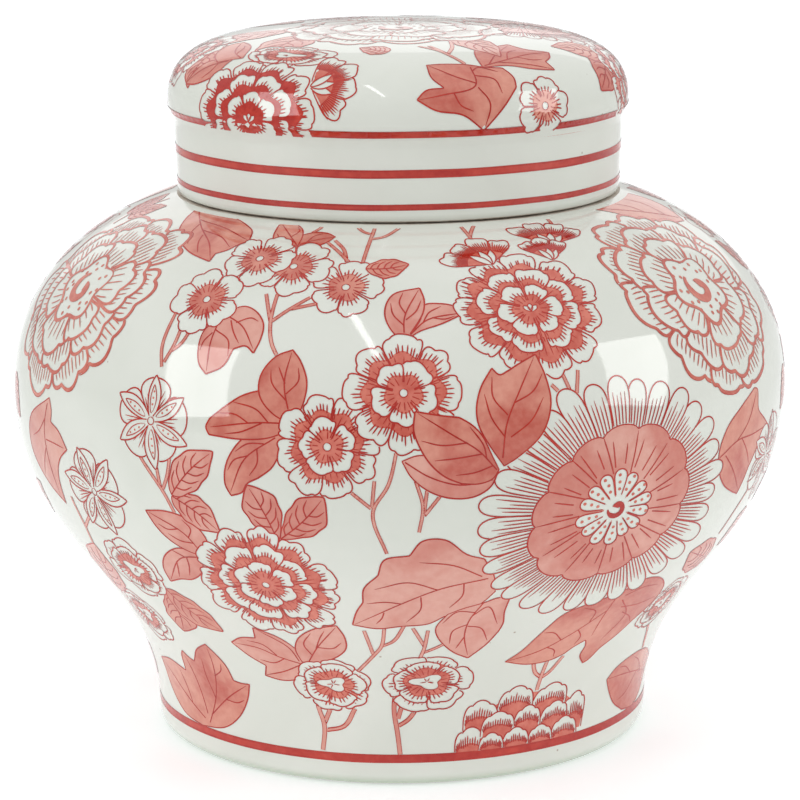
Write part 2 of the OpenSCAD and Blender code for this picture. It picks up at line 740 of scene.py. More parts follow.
@dataclass(frozen=True)
class Groups:
    """The shared node groups, built once."""

    ripple: bpy.types.NodeTree
    mottle: bpy.types.NodeTree

    @classmethod
    def build(cls) -> "Groups":
        """Builds every shared group."""
        return cls(glaze_ripple_group(), brush_mottle_group())

    def place(self, board: Board, tree: bpy.types.NodeTree, **values: object) -> bpy.types.Node:
        """Puts a group in a material.

        Args:
            board: The material's board.
            tree: The group.
            **values: Input values, with _ for each space.

        Returns:
            The group's node.
        """
        node = board.tree.nodes.new("ShaderNodeGroup")
        node.node_tree = tree
        for name, value in values.items():
            node.inputs[name.replace("_", " ")].default_value = value
        return node


@dataclass(frozen=True)
class GlossyCoat:
    """What every glazed surface shares: a glassy, slightly uneven top."""

    ripple_depth: float = 0.00012
    smooth: float = 0.035
    dull: float = 0.075
    ior: float = 1.52

    def lay(self, board: Board, groups: Groups) -> tuple[bpy.types.Node, bpy.types.Node]:
        """Adds the shader, its ripple and its output.

        Args:
            board: The material's board.
            groups: The shared groups.

        Returns:
            The shader, whose colour is still to be wired, and the ripple's node.
        """
        shader = board.node("BsdfPrincipled", IOR=self.ior)
        ripple = groups.place(board, groups.ripple, Smooth=self.smooth, Dull=self.dull)
        bump = board.node("Bump", Strength=1.0, Distance=self.ripple_depth)
        board.wire(ripple.outputs["Height"], bump.inputs["Height"])
        board.wire(bump.outputs["Normal"], shader.inputs["Normal"])
        board.wire(ripple.outputs["Roughness"], shader.inputs["Roughness"])
        board.show(shader)
        return shader, ripple


def new_material(name: str, colour: tuple) -> tuple[bpy.types.Material, Board]:
    """Starts a material on an empty board.

    Args:
        name: The material's name.
        colour: The colour it shows where nodes don't.

    Returns:
        The material and its board.
    """
    material = bpy.data.materials.new(name)
    material.use_nodes = True
    material.diffuse_color = colour
    return material, Board(material.node_tree)


@dataclass(frozen=True)
class PorcelainGlaze:
    """Pale grey-green glaze over white porcelain, greener where it pools at the foot."""

    name: str = "pale_celadon_glaze"
    thin: tuple = (0.755, 0.775, 0.712, 1.0)
    thick: tuple = (0.705, 0.73, 0.662, 1.0)
    pooled: tuple = (0.52, 0.58, 0.47, 1.0)
    pinhole: tuple = (0.45, 0.40, 0.33, 1.0)
    cloud_scale: float = 14.0
    grain: float = 0.06
    pool_top: float = 0.0042
    pool_bottom: float = 0.0008
    coat: GlossyCoat = GlossyCoat()

    def material(self, groups: Groups) -> bpy.types.Material:
        """Builds the material.

        Args:
            groups: The shared groups.

        Returns:
            The finished material.
        """
        material, board = new_material(self.name, self.thin)
        shader, ripple = self.coat.lay(board, groups)
        mottle = groups.place(
            board, groups.mottle, Thin=self.thin, Thick=self.thick,
            Pool_Scale=self.cloud_scale, Grain=self.grain,
        )
        place = board.node("SeparateXYZ")
        board.wire(board.node("TexCoord").outputs["Object"], place.inputs[0])
        pool = board.stretch(place.outputs["Z"], self.pool_top, self.pool_bottom)
        colour = board.blend(pool, mottle.outputs["Color"], self.pooled)
        colour = board.blend(ripple.outputs["Pinholes"], colour, self.pinhole)
        board.wire(colour, shader.inputs["Base Color"])
        return material


@dataclass(frozen=True)
class BareClay:
    """Unglazed porcelain, matt and faintly sandy."""

    name: str = "bare_clay"
    pale: tuple = (0.68, 0.64, 0.58, 1.0)
    toasted: tuple = (0.50, 0.43, 0.35, 1.0)
    sand_scale: float = 55.0
    grain: float = 0.5
    grain_depth: float = 0.00008
    roughness: tuple[float, float] = (0.62, 0.85)
    ior: float = 1.45

    def material(self, groups: Groups) -> bpy.types.Material:
        """Builds the material.

        Args:
            groups: The shared groups.

        Returns:
            The finished material.
        """
        material, board = new_material(self.name, self.pale)
        shader = board.node("BsdfPrincipled", IOR=self.ior)
        mottle = groups.place(
            board, groups.mottle, Thin=self.pale, Thick=self.toasted,
            Pool_Scale=self.sand_scale, Grain=self.grain,
        )
        board.wire(mottle.outputs["Color"], shader.inputs["Base Color"])
        rough = board.stretch(mottle.outputs["Thickness"], 0.0, 1.0, self.roughness)
        board.wire(rough, shader.inputs["Roughness"])
        bump = board.node("Bump", Strength=0.8, Distance=self.grain_depth)
        board.wire(mottle.outputs["Thickness"], bump.inputs["Height"])
        board.wire(bump.outputs["Normal"], shader.inputs["Normal"])
        board.show(shader)
        return material


@dataclass(frozen=True)
class Pigment:
    """Iron-red pigment under the glaze, laid thinly or thickly."""

    tone: Tone
    slot: Slot
    thin: tuple
    thick: tuple
    pool_scale: float
    grain: float
    coat: GlossyCoat = GlossyCoat()

    def material(self, groups: Groups) -> bpy.types.Material:
        """Builds the material.

        Args:
            groups: The shared groups.

        Returns:
            The finished material.
        """
        material, board = new_material("pigment_" + self.tone.value, self.thick)
        shader, _ = self.coat.lay(board, groups)
        mottle = groups.place(
            board, groups.mottle, Thin=self.thin, Thick=self.thick,
            Pool_Scale=self.pool_scale, Grain=self.grain,
        )
        board.wire(mottle.outputs["Color"], shader.inputs["Base Color"])
        return material


PIGMENTS = (
    Pigment(Tone.DEEP, Slot.LINE, (0.52, 0.035, 0.020, 1.0), (0.38, 0.007, 0.004, 1.0), 30.0, 0.4),
    Pigment(Tone.SOFT, Slot.LINE, (0.66, 0.21, 0.155, 1.0), (0.48, 0.07, 0.048, 1.0), 60.0, 0.4),
    Pigment(Tone.FULL, Slot.WASH, (0.70, 0.21, 0.15, 1.0), (0.55, 0.09, 0.06, 1.0), 70.0, 0.4),
    Pigment(Tone.DARK, Slot.WASH, (0.72, 0.31, 0.23, 1.0), (0.52, 0.10, 0.07, 1.0), 36.0, 0.22),
    Pigment(Tone.PALE, Slot.WASH, (0.745, 0.385, 0.315, 1.0), (0.61, 0.195, 0.15, 1.0), 38.0, 0.18),
    Pigment(Tone.BAND, Slot.WASH, (0.58, 0.05, 0.028, 1.0), (0.41, 0.007, 0.003, 1.0), 40.0, 0.3),
)


@dataclass(frozen=True)
class PaleFloorWithPaintedGlow:
    """A plain pale studio floor with a painted glow: it emits light of its own, dimmer in front and
    at the sides.
    """

    name: str = "pale_floor"
    colour: tuple = (0.82, 0.83, 0.83, 1.0)
    dim: tuple = (0.05, 0.05, 0.05, 1.0)
    bright: tuple = (0.345, 0.355, 0.365, 1.0)
    front_reach: tuple[float, float] = (-0.40, -0.11)
    side_reach: tuple[float, float] = (0.45, 0.135)
    side_spread: float = 0.16
    roughness: float = 0.6
    cloudiness: float = 0.015
    cloud_scale: float = 3.0

    def material(self) -> bpy.types.Material:
        """Builds the material.

        Returns:
            The finished material.
        """
        material, board = new_material(self.name, self.colour)
        shader = board.node("BsdfPrincipled", Roughness=self.roughness)
        # Painted light: the floor's emission is a painted glow, brightest near and behind the jar,
        # that lights the jar from below.
        shader.inputs["Emission Strength"].default_value = 1.0
        place = board.node("SeparateXYZ")
        board.wire(board.node("TexCoord").outputs["Object"], place.inputs[0])
        aside = board.node("Math", operation="ABSOLUTE")
        board.wire(place.outputs["X"], aside.inputs[0])
        spread = board.node("Math", operation="MULTIPLY_ADD")
        board.wire(place.outputs["Y"], spread.inputs[0])
        spread.inputs[1].default_value = -self.side_spread
        board.wire(aside.outputs[0], spread.inputs[2])
        lit = board.node("Math", operation="MULTIPLY")
        board.wire(board.stretch(place.outputs["Y"], *self.front_reach), lit.inputs[0])
        board.wire(board.stretch(spread.outputs[0], *self.side_reach), lit.inputs[1])
        glow = board.blend(lit.outputs[0], self.dim, self.bright)
        board.wire(glow, shader.inputs["Emission Color"])
        cloud = board.node("TexNoise", Scale=self.cloud_scale, Detail=2.0)
        shade = board.stretch(cloud.outputs[0], 0.2, 0.8)
        clouded = (*((1.0 - self.cloudiness) * part for part in self.colour[:3]), 1.0)
        board.wire(board.blend(shade, self.colour, clouded), shader.inputs["Base Color"])
        board.show(shader)
        return material


# ------------------------------------------------------------------ drawing


@dataclass(frozen=True)
class Pen:
    """How a stroke is drawn: its tone, its full width in millimetres, and how its ends thin."""

    tone: Tone
    width: float
    start: float = 0.55
    end: float = 0.35


OUTLINE = Pen(Tone.DEEP, 0.46, 0.7, 0.7)
FINE = Pen(Tone.DEEP, 0.32, 0.8, 0.25)
SPIKE = Pen(Tone.DEEP, 0.43, 1.0, 0.15)
COMB = Pen(Tone.SOFT, 0.48, 0.9, 0.35)
RAY_LINE = Pen(Tone.DEEP, 0.40, 0.9, 0.3)
PETAL_EDGE = Pen(Tone.SOFT, 1.10, 0.9, 0.9)
PETAL_RIM = Pen(Tone.DEEP, 0.28, 0.8, 0.8)
LEAF_EDGE = Pen(Tone.DEEP, 0.50, 0.7, 0.7)
VEIN = Pen(Tone.DEEP, 0.44, 1.0, 0.3)
TWIG_FILL = Pen(Tone.PALE, 0.85, 1.0, 0.9)
TWIG_EDGE = Pen(Tone.DEEP, 0.42, 0.9, 0.8)
BAND_EDGE = Pen(Tone.DEEP, 0.45, 1.0, 1.0)


@dataclass
class Layer:
    """One level of a motif, in its own millimetres: what it hides, its washes and its strokes."""

    covers: list[np.ndarray] = field(default_factory=list)
    washes: list[tuple[np.ndarray, Tone]] = field(default_factory=list)
    strokes: list[tuple[np.ndarray, Pen]] = field(default_factory=list)


@dataclass(frozen=True)
class Place:
    """Where a motif sits on a skin, and how it is turned and stretched."""

    around: float
    up: float
    turn: float = 0.0
    wide: float = 1.0
    tall: float = 1.0
    flat: bool = False

    def moved(self, degrees: float) -> "Place":
        """The same place, further round the jar.

        Args:
            degrees: How much further round it is.

        Returns:
            The new place.
        """
        return Place(
            self.around + degrees, self.up, self.turn, self.wide, self.tall, self.flat
        )

    def on_skin(self, points: np.ndarray, skin: Skin) -> np.ndarray:
        """A motif's own points as places on the skin.

        Args:
            points: The motif's points, in its own millimetres.
            skin: The skin it is laid on.

        Returns:
            [degrees round, millimetres up], one a row.
        """
        spread = turned(points, self.turn) * (self.wide, self.tall)
        if self.flat:
            middle = skin.on_chart(np.array([[self.around, self.up]]))
            return skin.off_chart(middle + spread)
        up = self.up + spread[:, 1]
        around = self.around + np.degrees(spread[:, 0] / skin.radius(up))
        return np.column_stack([around, up])


def petal(
    middle: float, half: float, root: float, tip: float, lobes: int, wave: float = 0.13
) -> np.ndarray:
    """The outline of a scalloped petal that fans out from a centre.

    Args:
        middle: The direction that it points in, in degrees clockwise from up.
        half: Half of the angle that it covers.
        root: How far from the centre it starts.
        tip: How far from the centre it ends.
        lobes: How many scallops its tip has.
        wave: How deep the notches between them are, as a share of its length.

    Returns:
        The outline, from one side of its root to the other.
    """
    fullness, notch, drift, dent, waist, flare = 0.36, 0.55, 0.05, 0.035, 0.82, 0.18
    t = np.linspace(0.0, 1.0, 12 + 10 * lobes)
    belly = np.sin(math.pi * t) ** fullness
    uneven = t + drift * np.sin(2 * math.pi * t + middle)
    scallop = 1.0 - wave * (1.0 - np.abs(np.sin(math.pi * lobes * uneven)) ** notch)
    scallop *= 1.0 + dent * np.sin(5.0 * math.pi * t + 2.0 * middle)
    radius = root + (tip - root) * belly * (scallop if lobes > 1 else 1.0)
    return polar(radius, middle - half * np.cos(math.pi * t) * (waist + flare * belly))


def swell_at(share: np.ndarray | float, peak: float) -> np.ndarray | float:
    """How wide a leaf is at a share of its length, next to its width at its peak."""
    return np.sin(math.pi * share ** (math.log(0.5) / math.log(peak)))


def leaf_shape(length: float, width: float, peak: float, bend: float, wave: float) -> np.ndarray:
    """The outline of a leaf that points up, from its base round to its base again.

    Args:
        length: How long it is.
        width: How wide it is.
        peak: Where it is widest, from 0 at its base to 1 at its tip.
        bend: How far its middle bows to one side.
        wave: How deeply its edge waves, as a share of its width.

    Returns:
        The outline.
    """
    fullness_below, fullness_above, ripples = 0.62, 0.9, 3.2
    t = np.linspace(0.0, 1.0, 34)
    swell = swell_at(t, peak)
    swell = np.where(t < peak, swell**fullness_below, swell**fullness_above)
    ripple = 1.0 + wave * np.sin(2 * math.pi * ripples * t)
    spine = bend * np.sin(math.pi * t)
    left = np.column_stack([spine - width / 2 * swell * ripple, length * t])
    right = np.column_stack([spine + width / 2 * swell * ripple, length * t])
    return np.vstack([left, right[-2:0:-1]])


class Motif:
    """Something that is painted again and again."""

    def layers(self) -> list[Layer]:
        """Its levels, from the topmost down."""
        raise NotImplementedError


class Heart(Enum):
    """What the middle of a blossom shows."""

    DOT = "dot"
    CLOVER = "clover"
    TUFT = "tuft"


@dataclass(frozen=True)
class Tier:
    """One ring of petals. Its lengths are shares of the blossom's radius."""

    tip: float
    root: float
    petals: int
    lobes: int
    fill: float
    spikes: float


@dataclass(frozen=True)
class Blossom(Motif):
    """A blossom of one or more rings of scalloped petals, each with a spiky red throat."""

    radius: float
    tiers: tuple[Tier, ...]
    heart: Heart = Heart.DOT
    seed: int = 1
    wash: Tone = Tone.FULL
    scalloping: float = 0.07
    spike_spacing: float = 1.05
    spike_root: float = 0.5

    def layers(self) -> list[Layer]:
        """Draws its heart, then its rings of petals from the innermost out.

        Returns:
            Its levels, from the topmost down.
        """
        chance = np.random.default_rng(self.seed)
        made = [self._heart(chance)]
        for tier in reversed(self.tiers):
            spin = chance.uniform(0.0, FULL_TURN)
            made.append(self._throat(tier, spin, chance))
            made.extend(self._petals(tier, spin, chance))
        return made

    def _heart(self, chance: np.random.Generator) -> Layer:
        """The white middle.

        Args:
            chance: The blossom's own run of chance.

        Returns:
            The top layer.
        """
        if self.heart is Heart.DOT:
            dot = circle(1.25)
            return Layer([dot], [], [(closed_line(dot), FINE)])
        if self.heart is Heart.CLOVER:
            size, lobing, squash = 0.27, 0.28, (1.2, 0.85)
            angle = turns(48)
            spread = self.radius * size * (1.0 + lobing * np.cos(np.radians(3 * angle)))
            clover = polar(spread, angle + chance.uniform(0, 90)) * squash
            tick = np.array([0.3, 1.9])
            ticks = [(polar(tick, turn), FINE) for turn in chance.uniform(0, 360, 5)]
            return Layer([clover], [], [(closed_line(clover), FINE), *ticks])
        blade, below = leaf_shape(3.0, 1.5, 0.6, 0.0, 0.0), (0.0, 1.0)
        tuft = [turned(blade, turn) - below for turn in (-42, 0, 42)]
        return Layer(tuft, [], [(closed_line(blade), FINE) for blade in tuft])

    def _throat(self, tier: Tier, spin: float, chance: np.random.Generator) -> Layer:
        """The red round the middle of a ring of petals, and the spikes that run out of it.

        Args:
            tier: The ring.
            spin: Where its first petal points.
            chance: The blossom's own run of chance.

        Returns:
            The wash and its strokes.
        """
        fill = tier.fill * self.radius

        def edge(degrees: np.ndarray) -> np.ndarray:
            """How far out the wash reaches in each direction."""
            wave = np.cos(np.radians(tier.petals * (degrees - spin)))
            return fill * (1.0 + self.scalloping * wave)

        ring = turns(72)
        wash = polar(edge(ring), ring)
        count = int(2 * math.pi * fill / self.spike_spacing)
        aim = turns(count) + chance.uniform(-1.5, 1.5, count)
        long = tier.spikes * self.radius * chance.uniform(0.55, 1.15, count)
        strokes = []
        for angle, reach, from_edge in zip(aim, long, edge(aim)):
            spike = np.array([from_edge - self.spike_root, from_edge + reach])
            strokes.append((polar(spike, angle), SPIKE))
        inner = chance.uniform(0.45, 0.62, count // 2) * fill
        for angle, start in zip(aim[::2], inner):
            hair = np.array([start, fill * 0.92])
            strokes.append((polar(hair, angle + 2.0), FINE))
        return Layer([], [(wash, self.wash)], strokes)

    def _petals(self, tier: Tier, spin: float, chance: np.random.Generator) -> list[Layer]:
        """The petals of one ring, each lapped over the next.

        Args:
            tier: The ring.
            spin: Where its first petal points.
            chance: The blossom's own run of chance.

        Returns:
            One layer for each petal.
        """
        made = []
        past_root = 1.35
        core = circle(tier.root * self.radius * past_root)
        for number in range(tier.petals):
            half = HALF_TURN / tier.petals * chance.uniform(1.0, 1.16)
            tip = self.radius * tier.tip * chance.uniform(0.94, 1.04)
            middle = spin + number * FULL_TURN / tier.petals + chance.uniform(-3, 3)
            shape = petal(middle, half, tier.root * self.radius, tip, tier.lobes)
            made.append(Layer([shape], [], [(shape, OUTLINE)]))
        made[-1].covers.append(core)
        return made


def single_blossom(radius: float, seed: int, petals: int = 5) -> Blossom:
    """A small blossom of one ring with a red middle and a white dot."""
    tier = Tier(1.0, 0.30, petals, 4, 0.47, 0.16)
    return Blossom(radius, (tier,), Heart.DOT, seed, Tone.DARK)


def double_blossom(radius: float, seed: int, heart: Heart = Heart.DOT) -> Blossom:
    """A blossom of two rings.

    Args:
        radius: Its radius.
        seed: What its run of chance starts from.
        heart: What its middle shows.

    Returns:
        The blossom.
    """
    outer = Tier(1.0, 0.42, 8, 3, 0.66, 0.14)
    inner = Tier(0.56, 0.18, 5, 3, 0.31, 0.09)
    return Blossom(radius, (outer, inner), heart, seed)


def cup_blossom(radius: float, seed: int) -> Blossom:
    """A blossom of two lapped rings round a red cup with a pale clover in it.

    Args:
        radius: Its radius.
        seed: What its run of chance starts from.

    Returns:
        The blossom.
    """
    outer = Tier(1.0, 0.50, 6, 3, 0.66, 0.13)
    inner = Tier(0.78, 0.36, 5, 3, 0.50, 0.13)
    return Blossom(radius, (outer, inner), Heart.CLOVER, seed)


def rosette(
    radius: float, seed: int, heart: Heart = Heart.TUFT, wash: Tone = Tone.FULL
) -> Blossom:
    """A full blossom of three rings.

    Args:
        radius: Its radius.
        seed: What its run of chance starts from.
        heart: What its middle shows.
        wash: How strongly its red is laid.

    Returns:
        The blossom.
    """
    outer = Tier(1.0, 0.55, 11, 3, 0.77, 0.08)
    middle = Tier(0.70, 0.34, 8, 3, 0.50, 0.07)
    inner = Tier(0.43, 0.14, 6, 3, 0.24, 0.06)
    return Blossom(radius, (outer, middle, inner), heart, seed, wash)


def comma_line(size: float) -> np.ndarray:
    """The hooked middle line of a large blossom.

    Args:
        size: Its outer radius.

    Returns:
        The line, from the middle out.
    """
    hook_angles, hook_reach = [20.0, 110.0, 330.0], [0.22, 0.72, 1.12]
    angle = np.linspace(hook_angles[0], hook_angles[-1], 26)
    return polar(size * np.interp(angle, hook_angles, hook_reach), angle)


@dataclass(frozen=True)
class PeonyRing:
    """One ring of a peony's petals. Its lengths are for a peony of 36 mm."""

    petals: int
    half: float
    root: float
    tip: float
    lobes: int
    comb_start: float
    comb_end: float


@dataclass(frozen=True)
class Peony(Motif):
    """A large outlined peony: rings of combed petals round a dotted eye."""

    full_radius: ClassVar[float] = 36.0
    radius: float = full_radius
    seed: int = 3
    edge: float = 1.0
    rings: tuple[PeonyRing, ...] = (
        PeonyRing(6, 34.0, 9.0, 22.5, 3, 11.5, 18.5),
        PeonyRing(8, 27.0, 15.0, 30.0, 3, 19.5, 26.5),
        PeonyRing(10, 22.0, 20.0, 36.5, 3, 26.5, 32.8),
    )

    def layers(self) -> list[Layer]:
        """Draws its eye, then its petals from the inside out.

        Returns:
            Its levels, from the topmost down.
        """
        chance = np.random.default_rng(self.seed)
        unit = self.radius / self.full_radius
        made = [self._eye(chance, unit)]
        for ring in self.rings:
            spin = chance.uniform(0.0, FULL_TURN)
            for number in range(ring.petals):
                middle = spin + number * FULL_TURN / ring.petals + chance.uniform(-5, 5)
                made.append(self._combed(ring, middle, unit, chance))
            made[-1].covers.append(circle((ring.root + 5.0) * unit, count=30))
        return made

    def _eye(self, chance: np.random.Generator, unit: float) -> Layer:
        """The dotted middle with its comma.

        Args:
            chance: The peony's own run of chance.
            unit: The peony's scale.

        Returns:
            The top layer.
        """
        star_radius, star_depth, star_pen = 11.6, 0.14, Pen(Tone.SOFT, 1.3 * self.edge)
        comma_radius, comma_pen = 4.9, Pen(Tone.SOFT, 2.9 * unit, 1.2, 0.3)
        dot_rings, dot_radius = ((7.2, 8), (9.6, 13)), 0.72
        turn = turns(60)
        star = polar(star_radius * unit * (1.0 + star_depth * np.cos(np.radians(5 * turn))), turn)
        star = turned(star, chance.uniform(0.0, 60.0))
        layer = Layer([star], [], [(closed_line(star), star_pen)])
        line = turned(comma_line(comma_radius * unit), chance.uniform(-30, 30))
        layer.strokes.append((line, comma_pen))
        for reach, count in dot_rings:
            aims = turns(count) + chance.uniform(-7, 7, count)
            for aim, far in zip(aims, reach * unit * chance.uniform(0.95, 1.05, count)):
                spot = tuple(polar(far, aim)[0])
                layer.washes.append((circle(dot_radius * unit, spot, 8), Tone.DARK))
        return layer

    def _combed(
        self, ring: PeonyRing, middle: float, unit: float, chance: np.random.Generator
    ) -> Layer:
        """A petal with a thick double edge and a comb of fine lines.

        Args:
            ring: The ring that it belongs to.
            middle: The direction that it points in.
            unit: The peony's scale.
            chance: The peony's own run of chance.

        Returns:
            The petal's layer.
        """
        half = ring.half * chance.uniform(0.9, 1.12)
        tip = ring.tip * unit * chance.uniform(0.94, 1.04)
        shape = petal(middle, half, ring.root * unit, tip, ring.lobes, 0.15)
        edge = replace(PETAL_EDGE, width=PETAL_EDGE.width * self.edge)
        comb = replace(COMB, width=COMB.width * self.edge)
        inner_edge, spacing, fan = 0.982, 1.6, 0.75
        along, closing, leaning = np.array([[0.0, 0.5, 1.0], [1.0, 0.95, 0.86], [0.0, 0.1, 0.3]])
        strokes = [(shape, PETAL_RIM), (shape * inner_edge, edge)]
        start, end = ring.comb_start * unit, ring.comb_end * unit * tip / (ring.tip * unit)
        count = max(4, int(math.radians(2 * fan * half) * start / spacing))
        lean = chance.uniform(-0.2, 0.2)
        for aim in np.linspace(-fan * half, fan * half, count):
            reach = (end - start) * chance.uniform(0.8, 1.1) * (1.0 - 0.3 * abs(aim) / half)
            bow = middle + aim * closing + lean * half * leaning
            strokes.append((polar(start + reach * along, bow), comb))
        return Layer([shape], [], strokes)


@dataclass(frozen=True)
class Sunburst(Motif):
    """A wide daisy: white rays, a coral disc, and dotted petals round a comma."""

    full_radius: ClassVar[float] = 42.0
    radius: float = full_radius
    rays: int = 31
    seed: int = 5

    def layers(self) -> list[Layer]:
        """Draws its eye, its dotted petals, its disc and its rays.

        Returns:
            Its levels, from the topmost down.
        """
        chance = np.random.default_rng(self.seed)
        unit = self.radius / self.full_radius
        made = [self._eye(unit)]
        made.extend(self._dotted_petals(unit, chance))
        made.append(self._disc(unit, chance))
        made.extend(self._rays(unit, chance))
        return made

    def _eye(self, unit: float) -> Layer:
        """The comma in the middle.

        Args:
            unit: The flower's scale.

        Returns:
            The top layer.
        """
        eye = circle(4.2 * unit)
        line = turned(comma_line(2.6 * unit), -60.0)
        return Layer([eye], [], [(line, Pen(Tone.DEEP, 1.7 * unit, 1.5, 0.3))])

    def _dotted_petals(self, unit: float, chance: np.random.Generator) -> list[Layer]:
        """The ring of narrow white petals with dots along them.

        Args:
            unit: The flower's scale.
            chance: The flower's own run of chance.

        Returns:
            One layer for each petal.
        """
        half, root, dots, dot_radius = 13.5, 3.6, (6.6, 8.9, 11.2), 0.55
        made = []
        for turn in turns(14):
            middle = turn + chance.uniform(-3, 3)
            tip = chance.uniform(11.4, 13.6) * unit
            shape = petal(middle, half, root * unit, tip, 1)
            layer = Layer([shape], [], [(shape, OUTLINE)])
            for far in dots:
                spot = tuple(polar(far * unit, middle + chance.uniform(-2, 2))[0])
                layer.washes.append((circle(dot_radius * unit, spot, 8), Tone.FULL))
            made.append(layer)
        return made

    def _disc(self, unit: float, chance: np.random.Generator) -> Layer:
        """The coral disc, drawn as broad petals laid flat.

        Args:
            unit: The flower's scale.
            chance: The flower's own run of chance.

        Returns:
            Its one layer.
        """
        petals, radius, lobe_depth, stretch, stretched_to = 13, 25.0, 1.9, 0.06, 45.0
        turn = turns(12 * petals)
        lobe = np.abs(np.cos(np.radians(petals * turn / 2))) ** 0.6
        longer = 1.0 + stretch * np.cos(np.radians(2 * (turn - stretched_to)))
        edge = polar(unit * (radius + lobe_depth * lobe) * longer, turn)
        strokes = [(closed_line(edge), LEAF_EDGE)]
        for number in range(petals):
            seam = (number + 0.5) * FULL_TURN / petals
            bowed = seam + np.array([3.0, 1.2, 0.0])
            strokes.append((polar(np.array([12.0, 18.5, 25.2]) * unit, bowed), VEIN))
            for aside in (-7.0, 6.0):
                start, end = chance.uniform(13.0, 15.0), chance.uniform(20.0, 23.5)
                aim = seam + HALF_TURN / petals + aside
                strokes.append((polar(np.array([start, end]) * unit, aim), VEIN))
        return Layer([edge], [(edge, Tone.PALE)], strokes)

    def _rays(self, unit: float, chance: np.random.Generator) -> list[Layer]:
        """The white rays, each with a few long lines.

        Args:
            unit: The flower's scale.
            chance: The flower's own run of chance.

        Returns:
            One layer for each ray.
        """
        root, lines_from, covered = 22.0, 23.0, 26.0
        made = []
        for turn in turns(self.rays):
            middle = turn + chance.uniform(-1.0, 1.0)
            half = HALF_TURN / self.rays * chance.uniform(1.02, 1.2)
            tip = chance.uniform(40.4, 43.4) * unit
            shape = petal(middle, half, root * unit, tip, 1)
            strokes = [(shape, OUTLINE)]
            for aside in (-0.55, -0.18, 0.18, 0.55):
                reach = chance.uniform(34.0, 38.5) * unit
                aim = middle + half * aside * np.array([1.0, 0.9])
                strokes.append((polar(np.array([lines_from * unit, reach]), aim), RAY_LINE))
            made.append(Layer([shape], [], strokes))
        made[-1].covers.append(circle(covered * unit, count=30))
        return made


@dataclass(frozen=True)
class Orchid(Motif):
    """An outlined flower of narrow dotted blades over broad round petals."""

    radius: float = 14.0
    seed: int = 2
    blades: int = 6
    blade_width: float = 0.34
    petals: int = 5
    petal_half: float = 40.0
    petal_offset: float = 20.0

    def layers(self) -> list[Layer]:
        """Draws its middle, its blades and its broad petals.

        Returns:
            Its levels, from the topmost down.
        """
        chance = np.random.default_rng(self.seed)
        middle = circle(1.2)
        made = [Layer([middle], [], [(closed_line(middle), FINE)])]
        spin = chance.uniform(0, 60)
        for aim in turns(self.blades):
            turn = spin + aim + chance.uniform(-6, 6)
            long = self.radius * chance.uniform(0.94, 1.06)
            blade = turned(leaf_shape(long, long * self.blade_width, 0.55, 0.6, 0.0), turn)
            seam = turned(leaf_shape(long * 0.62, long * 0.16, 0.5, 0.3, 0.0), turn)
            seam = seam + polar(long * 0.17, turn)[0]
            layer = Layer([blade], [], [(closed_line(blade), OUTLINE), (closed_line(seam), FINE)])
            for share in (0.36, 0.5, 0.64):
                spot = tuple(polar(long * share, turn + 1.5)[0])
                layer.washes.append((circle(0.36, spot, 7), Tone.FULL))
            made.append(layer)
        for aim in turns(self.petals):
            turn = spin + self.petal_offset + aim
            tip = self.radius * chance.uniform(0.86, 0.96)
            shape = petal(turn, self.petal_half, 0.8, tip, 1)
            strokes = [(shape, OUTLINE)]
            for aside in np.linspace(-28.0, 28.0, 8):
                reach = self.radius * chance.uniform(0.5, 0.72)
                strokes.append((polar(np.array([2.4, reach]), turn + aside), FINE))
            made.append(Layer([shape], [], strokes))
        return made


@dataclass(frozen=True)
class Bell(Motif):
    """A blossom seen from the side: a fan of petals over a red cup and a few pale sepals."""

    radius: float = 13.0
    petals: int = 4
    spread: float = 78.0
    seed: int = 4
    cup: float = 0.66
    cup_spikes_per_mm: float = 2.6

    def layers(self) -> list[Layer]:
        """Draws its sepals, its red cup and its fan.

        Returns:
            Its levels, from the topmost down.
        """
        chance = np.random.default_rng(self.seed)
        made = []
        sepal = leaf_shape(self.radius * 0.52, self.radius * 0.17, 0.5, 0.2, 0)
        for turn in (-24.0, 6.0, 34.0):
            shape = turned(sepal, turn)
            made.append(Layer([shape], [], [(closed_line(shape), OUTLINE)]))
        sweep = np.linspace(-self.spread, self.spread, 30)
        reach = self.radius * self.cup
        cup = np.vstack([polar(reach * (1 + 0.06 * np.cos(sweep / 9.0)), sweep), [[0.0, 0.0]]])
        strokes = []
        spikes = int(self.radius * self.cup_spikes_per_mm)
        for aim in np.linspace(-self.spread, self.spread, spikes):
            end = reach + self.radius * chance.uniform(0.08, 0.2)
            strokes.append((polar(np.array([reach * 0.72, end]), aim), SPIKE))
        made.append(Layer([], [(cup, Tone.FULL)], strokes))
        for number in range(self.petals):
            middle = -self.spread + 2 * self.spread * ((number + 0.5) / self.petals)
            half = self.spread / self.petals * 1.2
            tip = self.radius * chance.uniform(0.93, 1.05)
            shape = petal(middle, half, self.radius * 0.12, tip, 2, 0.08)
            made.append(Layer([shape], [], [(shape, OUTLINE)]))
        return made


@dataclass(frozen=True)
class Scale:
    """One domed petal: its sides, its base, its height and how far its top leans over."""

    left: float
    right: float
    base: float
    height: float
    lean: float = 0.0


